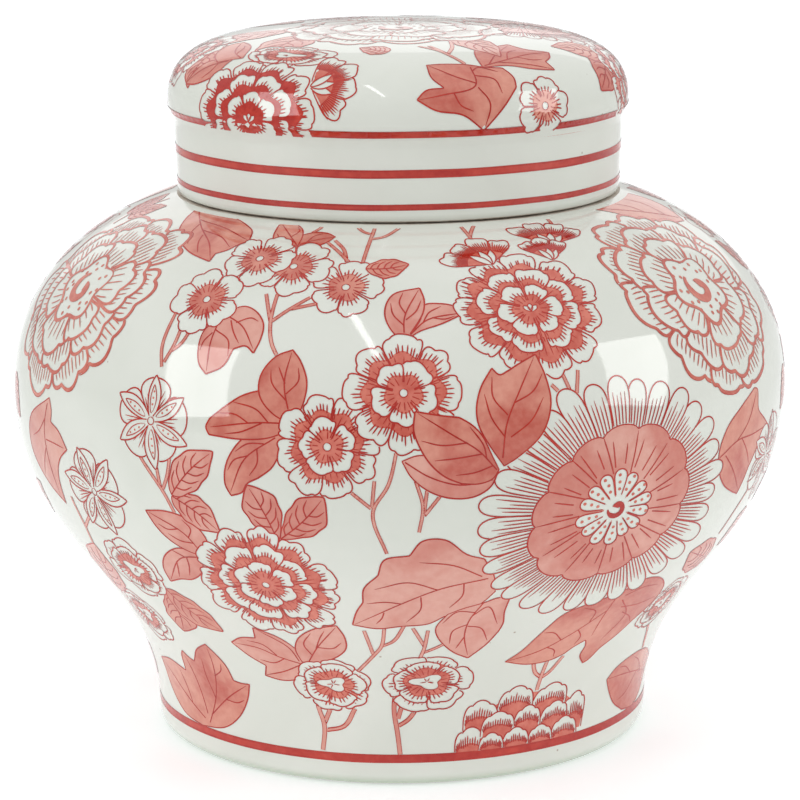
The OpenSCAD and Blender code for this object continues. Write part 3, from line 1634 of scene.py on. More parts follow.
@dataclass(frozen=True)
class ScaleBlossom(Motif):
    """Half of a full blossom, standing on a band: rows of petals lapped like scales."""

    scales: tuple[Scale, ...] = (
        Scale(-16.0, -7.5, 0.5, 7.2), Scale(-8.0, 1.4, 0.5, 8.0), Scale(1.0, 10.3, 0.5, 7.4),
        Scale(9.8, 20.6, 0.5, 8.4), Scale(-15.6, -4.2, 6.6, 8.4), Scale(-4.6, 5.2, 6.8, 9.0),
        Scale(4.6, 15.4, 6.4, 9.0, 1.0), Scale(-23.4, -12.0, 0.0, 10.4, -1.0),
        Scale(12.0, 22.6, 3.5, 13.6, 2.0), Scale(-21.4, -9.8, 9.0, 11.0, -1.0),
        Scale(-11.0, 1.4, 13.4, 10.6), Scale(0.8, 14.2, 12.6, 10.2, 1.0),
    )
    seed: int = 6

    def layers(self) -> list[Layer]:
        """Draws its scales from the lowest up, then the red behind them.

        Returns:
            Its levels, from the topmost down.
        """
        chance = np.random.default_rng(self.seed)
        made = [self._scale(scale, chance) for scale in self.scales]
        behind = smoothed(np.array([[-19, 0], [-18, 12], [-6, 20], [9, 19], [19, 12], [19, 0]]))
        made.append(Layer([], [(behind, Tone.FULL)], []))
        return made

    def _scale(self, scale: Scale, chance: np.random.Generator) -> Layer:
        """One petal: a scalloped dome, white at its edge, red and spiky below.

        Args:
            scale: Its place and size.
            chance: The blossom's own run of chance.

        Returns:
            Its layer.
        """
        lobes, notching, fullness, red_share = 3, 0.11, 0.58, (0.86, 0.46)
        t = np.linspace(0.0, 1.0, 40)
        notch = 1.0 - notching * (1.0 - np.abs(np.sin(lobes * math.pi * t)) ** 0.6)
        rise = np.sin(math.pi * t) ** fullness * notch
        half = (scale.right - scale.left) / 2
        x = -half * np.cos(math.pi * t) + scale.lean * rise
        dome = np.column_stack([x + scale.left + half, scale.base + scale.height * rise])
        middle = np.array([scale.left + half + 0.3 * scale.lean, scale.base])
        red = (dome - middle) * red_share + middle
        strokes = [(dome, OUTLINE)]
        for number in range(3, len(red) - 3, 2):
            out = (dome[number] - red[number]) * chance.uniform(0.3, 0.6)
            strokes.append((np.array([red[number] - 0.3 * out, red[number] + out]), SPIKE))
        return Layer([dome], [(red, Tone.FULL)], strokes)


@dataclass(frozen=True)
class Leaf(Motif):
    """A washed leaf with a drawn edge and veins. It points up from its base."""

    length: float
    width: float
    peak: float = 0.42
    bend: float = 0.0
    tone: Tone = Tone.PALE
    wave: float = 0.05
    veins: int = 4

    def layers(self) -> list[Layer]:
        """Draws its edge, its middle vein and its side veins, which stop short of the edge.

        Returns:
            Its one level.
        """
        first, last, lag, climb, highest, short = 0.10, 0.72, 0.05, 0.22, 0.92, 0.78
        shape = leaf_shape(self.length, self.width, self.peak, self.bend, self.wave)
        strokes = [(closed_line(shape), LEAF_EDGE), (self._spine(np.linspace(0.0, 0.94, 14)), VEIN)]
        for start in np.linspace(first, last, self.veins, endpoint=False):
            for side in (-1.0, 1.0):
                begin = start + (lag if side > 0 else 0.0)
                end = min(begin + climb, highest)
                near, far = self._spine(np.array([begin, end]))
                far[0] += side * short * self.width / 2 * swell_at(end, self.peak)
                elbow = (near + far) / 2 + (side * 0.06 * self.width, -0.03 * self.length)
                strokes.append((smoothed(np.array([near, elbow, far])), VEIN))
        return [Layer([shape], [(shape, self.tone)], strokes)]

    def _spine(self, shares: np.ndarray) -> np.ndarray:
        """Points on its bowed middle line, at shares of its length."""
        return np.column_stack([self.bend * np.sin(math.pi * shares), self.length * shares])


@dataclass(frozen=True)
class LobedLeaf(Motif):
    """A washed leaf of its own outline and veins."""

    outline: np.ndarray
    veins: tuple[np.ndarray, ...]
    tone: Tone = Tone.PALE

    def layers(self) -> list[Layer]:
        """Its one layer."""
        strokes = [(closed_line(self.outline), LEAF_EDGE), *((vein, VEIN) for vein in self.veins)]
        return [Layer([self.outline], [(self.outline, self.tone)], strokes)]


@dataclass(frozen=True)
class Twig(Motif):
    """A bare twig with its forks: each branch is a pale stem between two drawn edges."""

    branches: tuple[np.ndarray, ...]
    thick: float = 0.8
    step: float = 0.8

    def layers(self) -> list[Layer]:
        """Draws its branches.

        Returns:
            One level for each branch.
        """
        made = []
        for points in self.branches:
            line = resampled(smoothed(points), self.step)
            slope = np.gradient(line, axis=0)
            slope /= np.linalg.norm(slope, axis=1)[:, None]
            aside = np.column_stack([-slope[:, 1], slope[:, 0]]) * self.thick / 2
            sides = [line + aside, line - aside]
            cover = np.vstack([sides[0], sides[1][::-1]])
            fill = replace(TWIG_FILL, width=self.thick)
            strokes = [(line, fill), *((side, TWIG_EDGE) for side in sides)]
            made.append(Layer([cover], [], strokes))
        return made


# ------------------------------------------------------------------ painting


class Film:
    """Thin colour on a skin, gathered from many washes and strokes into one piece."""

    wash_lift = 0.06
    line_lift = 0.10

    def __init__(self, name: str, tone: Tone) -> None:
        """Starts an empty film.

        Args:
            name: The piece's name.
            tone: How strongly its pigment is laid.
        """
        self.name = name
        self.tone = tone
        self.points: list[np.ndarray] = []
        self.normals: list[np.ndarray] = []
        self.faces: list[np.ndarray] = []
        self.count = 0

    def add(self, points: np.ndarray, normals: np.ndarray, faces: np.ndarray) -> None:
        """Adds faces.

        Args:
            points: Their points, in metres.
            normals: The glaze's outward direction at each point.
            faces: Indices into those points, one face a row.
        """
        self.points.append(points)
        self.normals.append(normals)
        self.faces.append(faces + self.count)
        self.count += len(points)

    def build(self, body: str, pigments: dict[Tone, tuple]) -> None:
        """Makes the piece.

        Args:
            body: The body that it rides on.
            pigments: Each tone's material and record slot.
        """
        faces = [list(map(int, face)) for block in self.faces for face in block]
        piece = mesh_object(self.name, np.vstack(self.points), faces, np.vstack(self.normals))
        material, slot = pigments[self.tone]
        piece.data.materials.append(material)
        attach(piece, body)
        LOG.info("%s: film of %d faces", self.name, len(faces))


class Painting:
    """Everything painted on one piece. What is laid first lies on top."""

    arcs_in_band = 24
    points_in_arc = 9
    first_degree = -90.0
    stroke_step = 0.55

    def __init__(self, skin: Skin, body: str, mesh_size: float) -> None:
        """Starts a bare painting.

        Args:
            skin: The skin that it is laid on.
            body: The body that it rides on, which its pieces are named after.
            mesh_size: Spacing of the points inside a wash, in millimetres.
        """
        self.skin = skin
        self.body = body
        self.mesh_size = mesh_size
        self.covers: list[np.ndarray] = []
        self.boxes = np.empty((0, 4))
        self.films: dict[tuple[str, Tone], Film] = {}

    def lay(self, kind: str, motif: Motif, place: Place) -> None:
        """Paints a motif under everything that is already laid.

        Args:
            kind: The family of pieces that it belongs to.
            motif: The motif.
            place: Where it goes.
        """
        for layer in motif.layers():
            for outline, tone in layer.washes:
                self._wash(self._film(kind, tone), place.on_skin(outline, self.skin))
            self._strokes(kind, layer.strokes, place)
            for cover in layer.covers:
                self._hide(self.skin.on_chart(place.on_skin(cover, self.skin)))

    def band(self, kind: str, tone: Tone, low: float, high: float) -> None:
        """Paints a band right round, under everything that is already laid.

        Args:
            kind: The family of pieces that it belongs to.
            tone: How strongly it is laid.
            low: Its lower edge, in millimetres up the side.
            high: Its upper edge.
        """
        for arc in self._arcs(low, high):
            self._wash(self._film(kind, tone), arc)

    def hide_band(self, low: float, high: float) -> None:
        """Keeps later motifs out of a band right round.

        Args:
            low: Its lower edge, in millimetres up the side.
            high: Its upper edge.
        """
        for arc in self._arcs(low, high):
            self._hide(self.skin.on_chart(arc))

    @classmethod
    def _arcs(cls, low: float, high: float) -> list[np.ndarray]:
        """A band round the jar, cut into arcs that just meet.

        Args:
            low: Its lower edge.
            high: Its upper edge.

        Returns:
            Each arc's outline, in places.
        """
        step = FULL_TURN / cls.arcs_in_band
        made = []
        for number in range(cls.arcs_in_band):
            around = np.linspace(number * step, (number + 1) * step, cls.points_in_arc)
            around += cls.first_degree - step / 2
            under = np.column_stack([around, np.full(len(around), low)])
            over = np.column_stack([around[::-1], np.full(len(around), high)])
            made.append(np.vstack([under, over]))
        return made

    def ring(self, kind: str, up: float, pen: Pen) -> None:
        """Paints a line right round.

        Args:
            kind: The family of pieces that it belongs to.
            up: Its height, in millimetres up the side.
            pen: How it is drawn.
        """
        around = self.first_degree + np.linspace(0.0, FULL_TURN, 721)
        slow, quick = np.sin(np.radians(around * 5)), np.sin(np.radians(around * 13 + 40))
        self.line(kind, np.column_stack([around, up + 0.06 * slow + 0.05 * quick]), pen)

    def line(self, kind: str, places: np.ndarray, pen: Pen) -> None:
        """Paints one line.

        Args:
            kind: The family of pieces that it belongs to.
            places: The places that it passes through.
            pen: How it is drawn.
        """
        hidden = self._hidden(self.skin.on_chart(places))
        self._ribbon(self._film(kind, pen.tone), places, hidden, pen)

    def _film(self, kind: str, tone: Tone) -> Film:
        """The film that a family's tone is gathered in.

        Args:
            kind: The family of pieces.
            tone: The tone.

        Returns:
            The film, started now if there was none.
        """
        key = (kind, tone)
        if key not in self.films:
            self.films[key] = Film(f"{self.body}_{kind}_{tone.value}", tone)
        return self.films[key]

    def _hide(self, loop: np.ndarray) -> None:
        """Keeps later motifs from showing inside an outline.

        Args:
            loop: The outline on the chart.
        """
        for echo in self.skin.echoes(loop):
            self.covers.append(echo)
            self.boxes = np.vstack([self.boxes, [*echo.min(axis=0), *echo.max(axis=0)]])

    def _covers_over(self, low: np.ndarray, high: np.ndarray) -> list[np.ndarray]:
        """The covers that reach into a box on the chart.

        Args:
            low: The box's lowest corner.
            high: Its highest corner.

        Returns:
            Their outlines.
        """
        over = (self.boxes[:, :2] < high).all(axis=1) & (self.boxes[:, 2:] > low).all(axis=1)
        return [self.covers[number] for number in np.flatnonzero(over)]

    def _hidden(self, points: np.ndarray) -> np.ndarray:
        """Which points on the chart lie under what is already laid.

        Args:
            points: The chart's own millimetres, one a row.

        Returns:
            True or False for each point.
        """
        hidden = np.zeros(len(points), dtype=bool)
        for loop in self._covers_over(points.min(axis=0), points.max(axis=0)):
            in_box = (points >= loop.min(axis=0)) & (points <= loop.max(axis=0))
            near = ~hidden & in_box.all(axis=1)
            if near.any():
                hidden[near] |= inside(points[near], loop)
        return hidden

    def _strokes(self, kind: str, strokes: list, place: Place) -> None:
        """Lays strokes as ribbons, broken where they are hidden.

        Args:
            kind: The family of pieces that they belong to.
            strokes: Lines in the motif's millimetres, each with its pen.
            place: Where the motif goes.
        """
        if not strokes:
            return
        lines = [resampled(line, self.stroke_step) for line, _ in strokes]
        places = place.on_skin(np.vstack(lines), self.skin)
        hidden = self._hidden(self.skin.on_chart(places))
        start = 0
        for line, (_, pen) in zip(lines, strokes):
            span = slice(start, start + len(line))
            start += len(line)
            self._ribbon(self._film(kind, pen.tone), places[span], hidden[span], pen)

    def _ribbon(self, film: Film, places: np.ndarray, hidden: np.ndarray, pen: Pen) -> None:
        """Adds the shown runs of one stroke to a film.

        Args:
            film: The film.
            places: The stroke's places on the skin.
            hidden: Which of them are hidden.
            pen: How it is drawn.
        """
        points, normals = self.skin.in_space(places, Film.line_lift)
        along = np.gradient(points, axis=0)
        aside = np.cross(normals, along)
        aside /= np.maximum(np.linalg.norm(aside, axis=1), 1e-12)[:, None]
        share = np.linspace(0.0, 1.0, len(points))
        taper = [0.0, 0.25, 0.75, 1.0]
        swell = np.interp(share, taper, [pen.start, 1.0, 1.0, pen.end])
        aside *= (swell * pen.width / 2 * MM)[:, None]
        shown = np.flatnonzero(np.diff(np.concatenate([[True], hidden, [True]]).astype(int)))
        for first, stop in shown.reshape(-1, 2):
            if stop - first < 2:
                continue
            part = slice(first, stop)
            size = stop - first
            near = np.arange(size - 1)
            faces = np.column_stack([near, near + 1, near + 1 + size, near + size])
            both = np.vstack([points[part] - aside[part], points[part] + aside[part]])
            film.add(both, np.vstack([normals[part]] * 2), faces)

    def _wash(self, film: Film, places: np.ndarray) -> None:
        """Adds a wash to a film, trimmed by what is already laid.

        Args:
            film: The film.
            places: The wash's outline on the skin.
        """
        outline = self.skin.on_chart(places)
        low, high = outline.min(axis=0), outline.max(axis=0)
        loops = [outline, *self._covers_over(low, high)]
        grid = np.mgrid[low[0] : high[0] : self.mesh_size, low[1] : high[1] : self.mesh_size]
        grid = grid.reshape(2, -1).T
        if len(grid):
            grid = grid[inside(grid, outline)]
        points = [Vector(point) for point in np.vstack([*loops, grid])]
        faces, start = [], 0
        for loop in loops:
            numbers = list(range(start, start + len(loop)))
            following = np.roll(loop, -1, axis=0)
            area = np.sum(loop[:, 0] * following[:, 1] - following[:, 0] * loop[:, 1])
            faces.append(numbers if area > 0 else numbers[::-1])
            start += len(loop)
        keep_inside, too_close = 1, 1e-5
        corners, _, triangles, _, _, sources = delaunay_2d_cdt(
            points, [], faces, keep_inside, too_close
        )
        shown = [face for face, source in zip(triangles, sources) if set(source) == {0}]
        if not shown:
            return
        used = sorted({corner for face in shown for corner in face})
        number = {corner: i for i, corner in enumerate(used)}
        chart = np.array([corners[corner][:] for corner in used])
        space, normals = self.skin.in_space(self.skin.off_chart(chart), Film.wash_lift)
        film.add(space, normals, np.array([[number[c] for c in face] for face in shown]))

    def build(self, pigments: dict[Tone, tuple]) -> None:
        """Makes every film's piece.

        Args:
            pigments: Each tone's material and record slot.
        """
        for film in self.films.values():
            if film.count:
                film.build(self.body, pigments)


# ------------------------------------------------------------------ what is painted where


LeafTable = tuple[tuple[Tone, list, list], ...]  # tone, edge and veins, in places on the skin


class Pattern:
    """Puts motifs on a painting, once on each of the jar's two faces.

    Places are [degrees round, millimetres up the side].
    """

    faces = (0.0, HALF_TURN)

    def __init__(self, painting: Painting) -> None:
        """Starts on a bare painting.

        Args:
            painting: The painting of one turned piece.
        """
        self.painting = painting
        self.skin = painting.skin

    def put(self, kind: str, motif: Motif, around: float, up: float, **how: object) -> None:
        """Lays a motif on both faces.

        Args:
            kind: The family of pieces that it belongs to.
            motif: The motif.
            around: Its middle or its base, in degrees round the jar.
            up: The same, in millimetres up the side.
            **how: Its turn, its stretch and whether it lies on the crown.
        """
        place = Place(around, up, **how)
        for face in self.faces:
            self.painting.lay(kind, motif, place.moved(face))

    def flatten(self, points: list, anchor: tuple[float, float]) -> np.ndarray:
        """Places on the skin as millimetres from an anchor.

        Args:
            points: Places.
            anchor: The place that they are measured from.

        Returns:
            Points, one a row.
        """
        around, up = np.array(points, dtype=float).T
        across = np.radians(around - anchor[0]) * self.skin.radius(up)
        return np.column_stack([across, up - anchor[1]])

    def leaf(self, base: tuple, tip: tuple, width: float, **shape: object) -> None:
        """Lays a plain leaf.

        Args:
            base: The place of its base.
            tip: The place of its tip.
            width: Its width.
            **shape: Its other sizes.
        """
        across, rise = self.flatten([tip], base)[0]
        turn = math.degrees(math.atan2(across, rise))
        self.put("leaves", Leaf(math.hypot(across, rise), width, **shape), *base, turn=turn)

    def lobed_leaves(self, leaves: LeafTable) -> None:
        """Lays leaves of their own shapes.

        Args:
            leaves: For each one its tone, its edge and its veins. The edge is made of rounded
                stretches that meet at tips and notches: each ends where the next begins.
        """
        for tone, edge, veins in leaves:
            anchor = edge[0][0]
            parts = [part + after[:1] for part, after in zip(edge, edge[1:] + edge[:1])]
            stretches = [smoothed(self.flatten(part, anchor)) for part in parts]
            outline = np.vstack([stretch[:-1] for stretch in stretches])
            lines = tuple(smoothed(self.flatten(vein, anchor)) for vein in veins)
            self.put("leaves", LobedLeaf(outline, lines, tone), *anchor)

    def twig(self, *branches: list, thick: float = 0.8) -> None:
        """Lays a twig.

        Args:
            *branches: The places that each branch passes through.
            thick: How thick they are.
        """
        anchor = branches[0][0]
        lines = tuple(self.flatten(branch, anchor) for branch in branches)
        self.put("twigs", Twig(lines, thick), *anchor)

    def posy(self, middle: tuple, motif: Motif, **how: object) -> None:
        """Lays a small blossom."""
        self.put("blossoms", motif, *middle, **how)


# The leaves that lie over the blossoms in the middle.
TOP_LEAVES: LeafTable = (
    (Tone.DARK,
     [[(14, 124.5), (16, 127), (19.5, 133.5), (21, 142), (20.7, 150)], [(19.8, 157), (17.2, 154.6)],
      [(15.4, 152.6), (14, 151.5)],
      [(13, 153.6), (11.2, 148), (10.4, 142), (10.6, 137), (12, 131)]],
     [[(13.8, 127), (14.5, 137), (16.8, 147), (19.4, 156)], [(14.2, 133), (12.4, 139), (11.6, 146)],
      [(14.7, 139.5), (12.8, 145), (12.9, 151)], [(15, 133), (18, 137.5), (20, 144)],
      [(15.8, 143), (18.6, 146), (20.3, 151)]]),
    (Tone.DARK,
     [[(13.3, 123.5), (12.3, 128), (11, 134), (9.6, 137.3)], [(8, 139.5), (5, 140.4)],
      [(2, 141.6), (1.8, 136), (2.6, 131), (4, 126), (6, 122)],
      [(8.2, 119.8), (10.5, 119.5), (12.4, 120.8)]],
     [[(13, 123.5), (10.5, 129.5), (7, 134.5), (2.4, 141)], [(11, 128.5), (7.5, 127.5), (4.6, 127)],
      [(9, 132), (5.5, 131.5), (2.8, 133)], [(11.6, 127), (11.2, 131), (9.4, 136.6)],
      [(12.4, 124.8), (10, 123), (7.4, 122.4)]]),
    (Tone.PALE,
     [[(0.2, 127), (2, 128.5), (3.6, 128.6), (8, 126)],
      [(13.2, 123), (12.2, 118.5), (10, 115.6), (7, 115.3), (4, 117.5), (1.5, 122)]],
     [[(0.6, 126.7), (4, 122), (8, 119.4), (12.6, 120.5)]]),
)

# The leaves on the shoulder.
SHOULDER_LEAVES: LeafTable = (
    (Tone.DARK,
     [[(-46, 212.5), (-42, 212), (-37, 209), (-34, 206)],
      [(-32.3, 200.5), (-34, 198), (-35.2, 195)], [(-37.2, 192.6)],
      [(-37, 188.8), (-44, 192), (-52, 199), (-57, 207)], [(-60, 214), (-53, 214)]],
     [[(-57, 212), (-48, 204), (-41, 197), (-37.3, 190)], [(-52, 208), (-42, 206), (-33, 201)],
      [(-47, 203), (-40, 201), (-35.4, 196.5)], [(-50, 205.5), (-49, 201), (-46, 195)],
      [(-45, 200.5), (-44, 197), (-41.5, 192)]]),
    (Tone.DARK,
     [[(-20.8, 199.2), (-24, 198.8), (-26.6, 201.3), (-28, 205)],
      [(-29.4, 213), (-26, 213), (-23.2, 210.8), (-21.4, 206.5)]],
     [[(-21, 200), (-24.5, 206), (-29, 212.6)], [(-22.6, 203), (-25.4, 203), (-27.6, 206)],
      [(-23.6, 205), (-22.8, 208.4), (-24, 211)]]),
    (Tone.DARK,
     [[(-20.8, 199.2), (-17.5, 199.8), (-15, 203)], [(-13.9, 206), (-16, 208), (-18.8, 208.3)],
      [(-21.4, 206.3), (-21.5, 202)]],
     [[(-21, 200.5), (-18, 203.6), (-14.2, 205.8)], [(-19.4, 202.4), (-18.6, 206), (-17, 207.6)]]),
    (Tone.PALE,
     [[(-29, 168), (-30.6, 163), (-30.6, 158), (-29.8, 153)], [(-28.3, 150), (-25.8, 153)],
      [(-24.8, 158.5), (-23, 159.7)],
      [(-21.5, 157.6), (-20.9, 162), (-21, 167), (-23, 171.5), (-25.5, 172.8)]],
     [[(-28.5, 168), (-28.8, 160), (-28.3, 151)], [(-28.6, 164), (-26, 161), (-25.4, 156)],
      [(-28, 169.5), (-24.4, 166), (-21.7, 159)], [(-25.6, 167), (-23.4, 169), (-22, 168)],
      [(-26.6, 167.6), (-25.6, 164), (-24.2, 160.4)], [(-29, 163), (-30, 160), (-30.2, 157)]]),
    (Tone.PALE,
     [[(0.7, 162.5), (-1.4, 167), (-2.3, 173), (-1, 179.3)], [(3.4, 181.8), (4, 177), (3.6, 172)]],
     [[(0.7, 164), (0.8, 171), (3.2, 181)], [(0.7, 168), (-1, 172), (-1.4, 176)],
      [(1, 172), (0, 176), (0.6, 180)], [(1, 170), (2.6, 173), (3.5, 177)]]),
    (Tone.PALE,
     [[(1, 163.2), (3, 166), (6.5, 168.5)],
      [(10.3, 172), (8.6, 174.6), (6.3, 175.6), (4, 175.2), (3.2, 170)]],
     [[(1.6, 165), (4.4, 170), (9.8, 172)], [(3.6, 169), (4.6, 172.4), (6.6, 174.6)],
      [(5, 170.6), (7, 170), (8.6, 171)]]),
    (Tone.DARK,
     [[(54, 214), (58, 210), (64, 201), (72, 195)], [(80, 192), (84, 198), (85, 206)],
      [(82, 214), (68, 214)]],
     [[(80, 194), (70, 203), (58, 212)], [(76, 198), (77, 206), (74, 212)],
      [(70, 203), (69, 208), (66, 212)]]),
)

# Three leaves that spread from one stem, left of the middle.
CENTRE_SPRAY: LeafTable = (
    (Tone.DARK,
     [[(-14.5, 137), (-13.2, 144), (-13, 150), (-14.2, 156)],
      [(-15.6, 159.4), (-18, 157), (-19.8, 151), (-19.6, 145), (-17.5, 140)]],
     [[(-15, 139), (-16.2, 149), (-15.7, 158.5)], [(-15.7, 144), (-18, 149), (-18.4, 153)],
      [(-16.1, 149), (-17.3, 154)], [(-15.8, 146), (-14.2, 150), (-14.4, 154)]]),
    (Tone.DARK,
     [[(-15, 135.5), (-18, 132.8), (-22, 131.8)], [(-26.8, 132.3), (-27.3, 134.5)],
      [(-26.8, 137), (-24.6, 141), (-21.8, 145), (-18.5, 146.4), (-15.6, 142)]],
     [[(-15.5, 137.4), (-20, 137), (-26.6, 134.6)], [(-18, 137.2), (-20, 141), (-23.4, 142.6)],
      [(-21, 136.8), (-23, 139), (-25.6, 139)], [(-19, 137), (-22, 134), (-24.4, 133)]]),
    (Tone.DARK,
     [[(-15.5, 134.5), (-18, 135), (-21.5, 132.3), (-24, 125), (-24.5, 118)],
      [(-23.7, 114.2), (-22, 115.6), (-21.2, 118.4)], [(-19.5, 120.5), (-17.5, 124), (-16.3, 129)]],
     [[(-17, 133), (-21.4, 126), (-23.7, 115.5)], [(-19.6, 129.4), (-19.6, 125), (-20.8, 121)],
      [(-18.6, 131), (-21, 130.6), (-22.8, 128)], [(-21, 127), (-23, 125.4), (-24, 122)]]),
)

# Two leaves that hang at the left of the belly.
BELLY_PAIR: LeafTable = (
    (Tone.PALE,
     [[(-30, 91), (-28.8, 96), (-29.4, 100.5), (-31.6, 104.6), (-35, 106)],
      [(-38.8, 105), (-37.4, 99.5), (-35.6, 95.5), (-33, 92.5)]],
     [[(-30.4, 92.5), (-32.6, 99), (-38.2, 104.6)], [(-31.4, 95.8), (-33.6, 96), (-35.6, 98)],
      [(-32, 97.6), (-31.2, 101), (-32.4, 104)], [(-33.4, 100.4), (-35.4, 99.6), (-37, 101)]]),
    (Tone.PALE,
     [[(-30.5, 91), (-31.6, 84.5), (-34.4, 80), (-37, 79)],
      [(-39.8, 76.7), (-39.6, 83), (-38, 88.5), (-35, 92.6), (-32.5, 92.8)]],
     [[(-31, 90.6), (-35, 88.5), (-39.4, 77.8)], [(-33.6, 89.8), (-33.8, 86), (-34.6, 81.6)],
      [(-36, 87), (-36.4, 83.6), (-37, 80)], [(-34, 89.6), (-36, 91.6)]]),
)

# The leaves at the two edges of a face.
FACE_EDGE_LEAVES: LeafTable = (
    (Tone.PALE,
     [[(-60, 133), (-59.2, 129)], [(-59.5, 125.6), (-57, 123.4)],
      [(-55, 118.5), (-57.6, 114.4), (-59.2, 109)],
      [(-60, 98), (-65, 104), (-69, 113), (-68, 123)]],
     [[(-60.6, 131), (-62, 121), (-61, 101)], [(-61.4, 126), (-64, 121), (-67, 118)],
      [(-61.6, 119), (-59, 119), (-56, 118.6)], [(-61.8, 117), (-64, 110), (-65, 106)]]),
    (Tone.DARK,
     [[(61.5, 134), (62.6, 133), (62.6, 127), (65, 123)], [(67, 120), (64, 116), (62.5, 112)],
      [(61.3, 108.5), (60.6, 104)],
      [(59.8, 100), (57, 102.4), (54, 106), (52, 111), (51.2, 118), (53, 125), (57, 130)]],
     [[(51.5, 116), (56, 119.5), (61, 119.5), (66.5, 120)], [(53, 116), (55.5, 111), (59.4, 102)],
      [(56, 119.6), (59, 124), (62, 132.4)], [(57.4, 119.6), (59.4, 115), (61, 110)]]),
)

# The broad leaves under the middle and under the sunburst.
BROAD_LEAVES: LeafTable = (
    (Tone.PALE,
     [[(7.5, 70.5), (10, 73), (13, 75), (15.5, 77)], [(17.2, 76), (17, 70), (17.4, 64)],
      [(17, 60), (15.4, 54)], [(12.5, 48), (9.4, 51.4), (6.4, 58.6), (5.8, 64)]],
     [[(13, 75), (11.3, 67), (11, 59), (12.3, 49.5)], [(11.6, 69), (14, 73), (16.4, 64)],
      [(11.2, 64), (13.6, 62.6), (15.4, 56)], [(11.2, 65), (8.8, 62), (8.5, 55.5)],
      [(11, 58.6), (9.8, 53)], [(12, 70.6), (9, 71.4), (6.8, 66)]]),
    (Tone.PALE,
     [[(14.5, 80), (12.5, 74.6), (9.6, 71.4)], [(7, 69.5), (4.4, 66), (0, 65), (-4, 63.8)],
      [(-8.2, 65.5), (-7.2, 72)], [(-6, 76.5), (-5.6, 83)], [(-3.4, 88.5), (-2.4, 94.6)],
      [(1.2, 96.2), (3, 101.4), (6.2, 101.6), (9.4, 96)], [(12, 94), (13.8, 87)]],
     [[(13, 86), (6, 82.5), (0, 76), (-7.8, 65.8)], [(9.4, 84.6), (9.4, 79), (7.6, 73.6)],
      [(5.6, 82), (1, 85.5), (-4, 82.6)], [(3, 79), (3, 73), (0.8, 67)],
      [(0, 76), (-2.6, 76.8), (-5.4, 76)], [(-2.8, 71.8), (-3.2, 69), (-4.2, 66.2)],
      [(12, 87), (7.6, 92), (2.6, 93.6)]]),
    (Tone.DARK,
     [[(20.3, 44.5), (23, 48.5), (25, 54)], [(26.3, 58), (29, 65), (36, 69)],
      [(40, 71), (44, 74.3), (48.6, 72), (52, 66), (52.2, 59)], [(49, 51.5), (46.8, 47)],
      [(43.2, 42.4), (41.4, 38.6)], [(40, 37.5), (38.2, 41.4), (38.4, 45.6)],
      [(37.6, 48.6), (35.2, 46.4)], [(33.5, 44), (30.6, 42.2), (25.4, 42)]],
     [[(38.6, 62), (33, 53.5), (27, 47.5), (20.5, 44.6)], [(35.8, 58), (35.8, 63), (32.6, 66)],
      [(31, 51.4), (28.6, 55.6), (26.4, 56.4)], [(28.4, 48.8), (30.6, 46.6), (31, 43.6)],
      [(34, 55), (35.6, 51), (35, 47.4)], [(39, 69), (38.6, 60), (38.6, 50)],
      [(41, 66), (45, 57), (42, 46)], [(42, 62), (47, 61), (51.4, 62)],
      [(43.4, 59), (47, 55), (48.4, 52)], [(41, 68), (45, 70), (49, 69)]]),
)

# The leaves nearest the foot.
FOOT_LEAVES: LeafTable = (
    (Tone.PALE,
     [[(-19.5, 45.5), (-20, 51), (-18.6, 57), (-15, 62.4)],
      [(-11, 64.7), (-10, 59), (-10.2, 53), (-12.5, 48.5)], [(-15, 46.5), (-16.4, 43.6)]],
     [[(-18, 45.8), (-15.5, 53), (-11.2, 63.8)], [(-17, 49), (-18, 54), (-16, 60)],
      [(-15.8, 52.4), (-14.6, 57.6), (-13.4, 61.6)], [(-15.4, 53), (-12.6, 53), (-10.8, 56)]]),
    (Tone.PALE,
     [[(-18.5, 44), (-19.5, 50), (-22.4, 56)], [(-27, 59.8)], [(-27.6, 54.5), (-31, 53.4)],
      [(-33.8, 50.2), (-31, 45)], [(-27.8, 41.5)], [(-28.8, 37), (-25, 36), (-21.5, 37.4)]],
     [[(-19, 44), (-24, 46.5), (-28, 49.6), (-33, 50.2)], [(-20, 45.5), (-21.4, 52), (-26.4, 59)],
      [(-20, 43.8), (-24, 40), (-28.4, 37.4)], [(-23, 46), (-25.6, 43.4), (-28.6, 44)],
      [(-24.4, 47), (-26.6, 51.6), (-29.8, 52.6)]]),
    (Tone.DARK,
     [[(-52, 11), (-44, 13), (-39, 18), (-35.6, 25)], [(-33.8, 31.8), (-36, 31.6)],
      [(-38, 32), (-38.8, 38.6)], [(-41.7, 46), (-45.6, 42)], [(-48.7, 35.8), (-50.4, 37)],
      [(-51.6, 39), (-53, 36)], [(-54, 30), (-60, 31.8)], [(-66, 30), (-65.4, 20), (-60, 13)]],
     [[(-49, 13), (-45, 24), (-42.6, 36), (-41.8, 44.6)], [(-48, 16), (-41, 24.6), (-34.8, 31)],
      [(-49.4, 16), (-50.6, 27), (-51.6, 37)], [(-50.6, 14), (-57, 19.6), (-64.6, 29)],
      [(-45.4, 23), (-46.4, 31), (-45.6, 38)], [(-43.4, 32), (-40.8, 35), (-40, 38)],
      [(-55, 18), (-56, 24), (-57, 29)], [(-42, 23.6), (-38.6, 23.4), (-36.4, 25)]]),
    (Tone.DARK,
     [[(51, 26.5), (53.4, 30), (60, 32.5), (68, 31)], [(76, 25), (74, 15), (68, 11)],
      [(61, 12), (56.4, 16), (53.6, 20.6)]],
     [[(75, 20), (65, 24), (57, 26), (51.6, 26.6)], [(69, 22.6), (65, 28), (61, 31)],
      [(62, 24.6), (58, 28.6), (55, 29.6)], [(66, 23.4), (62, 18), (58, 16.4)]]),
)


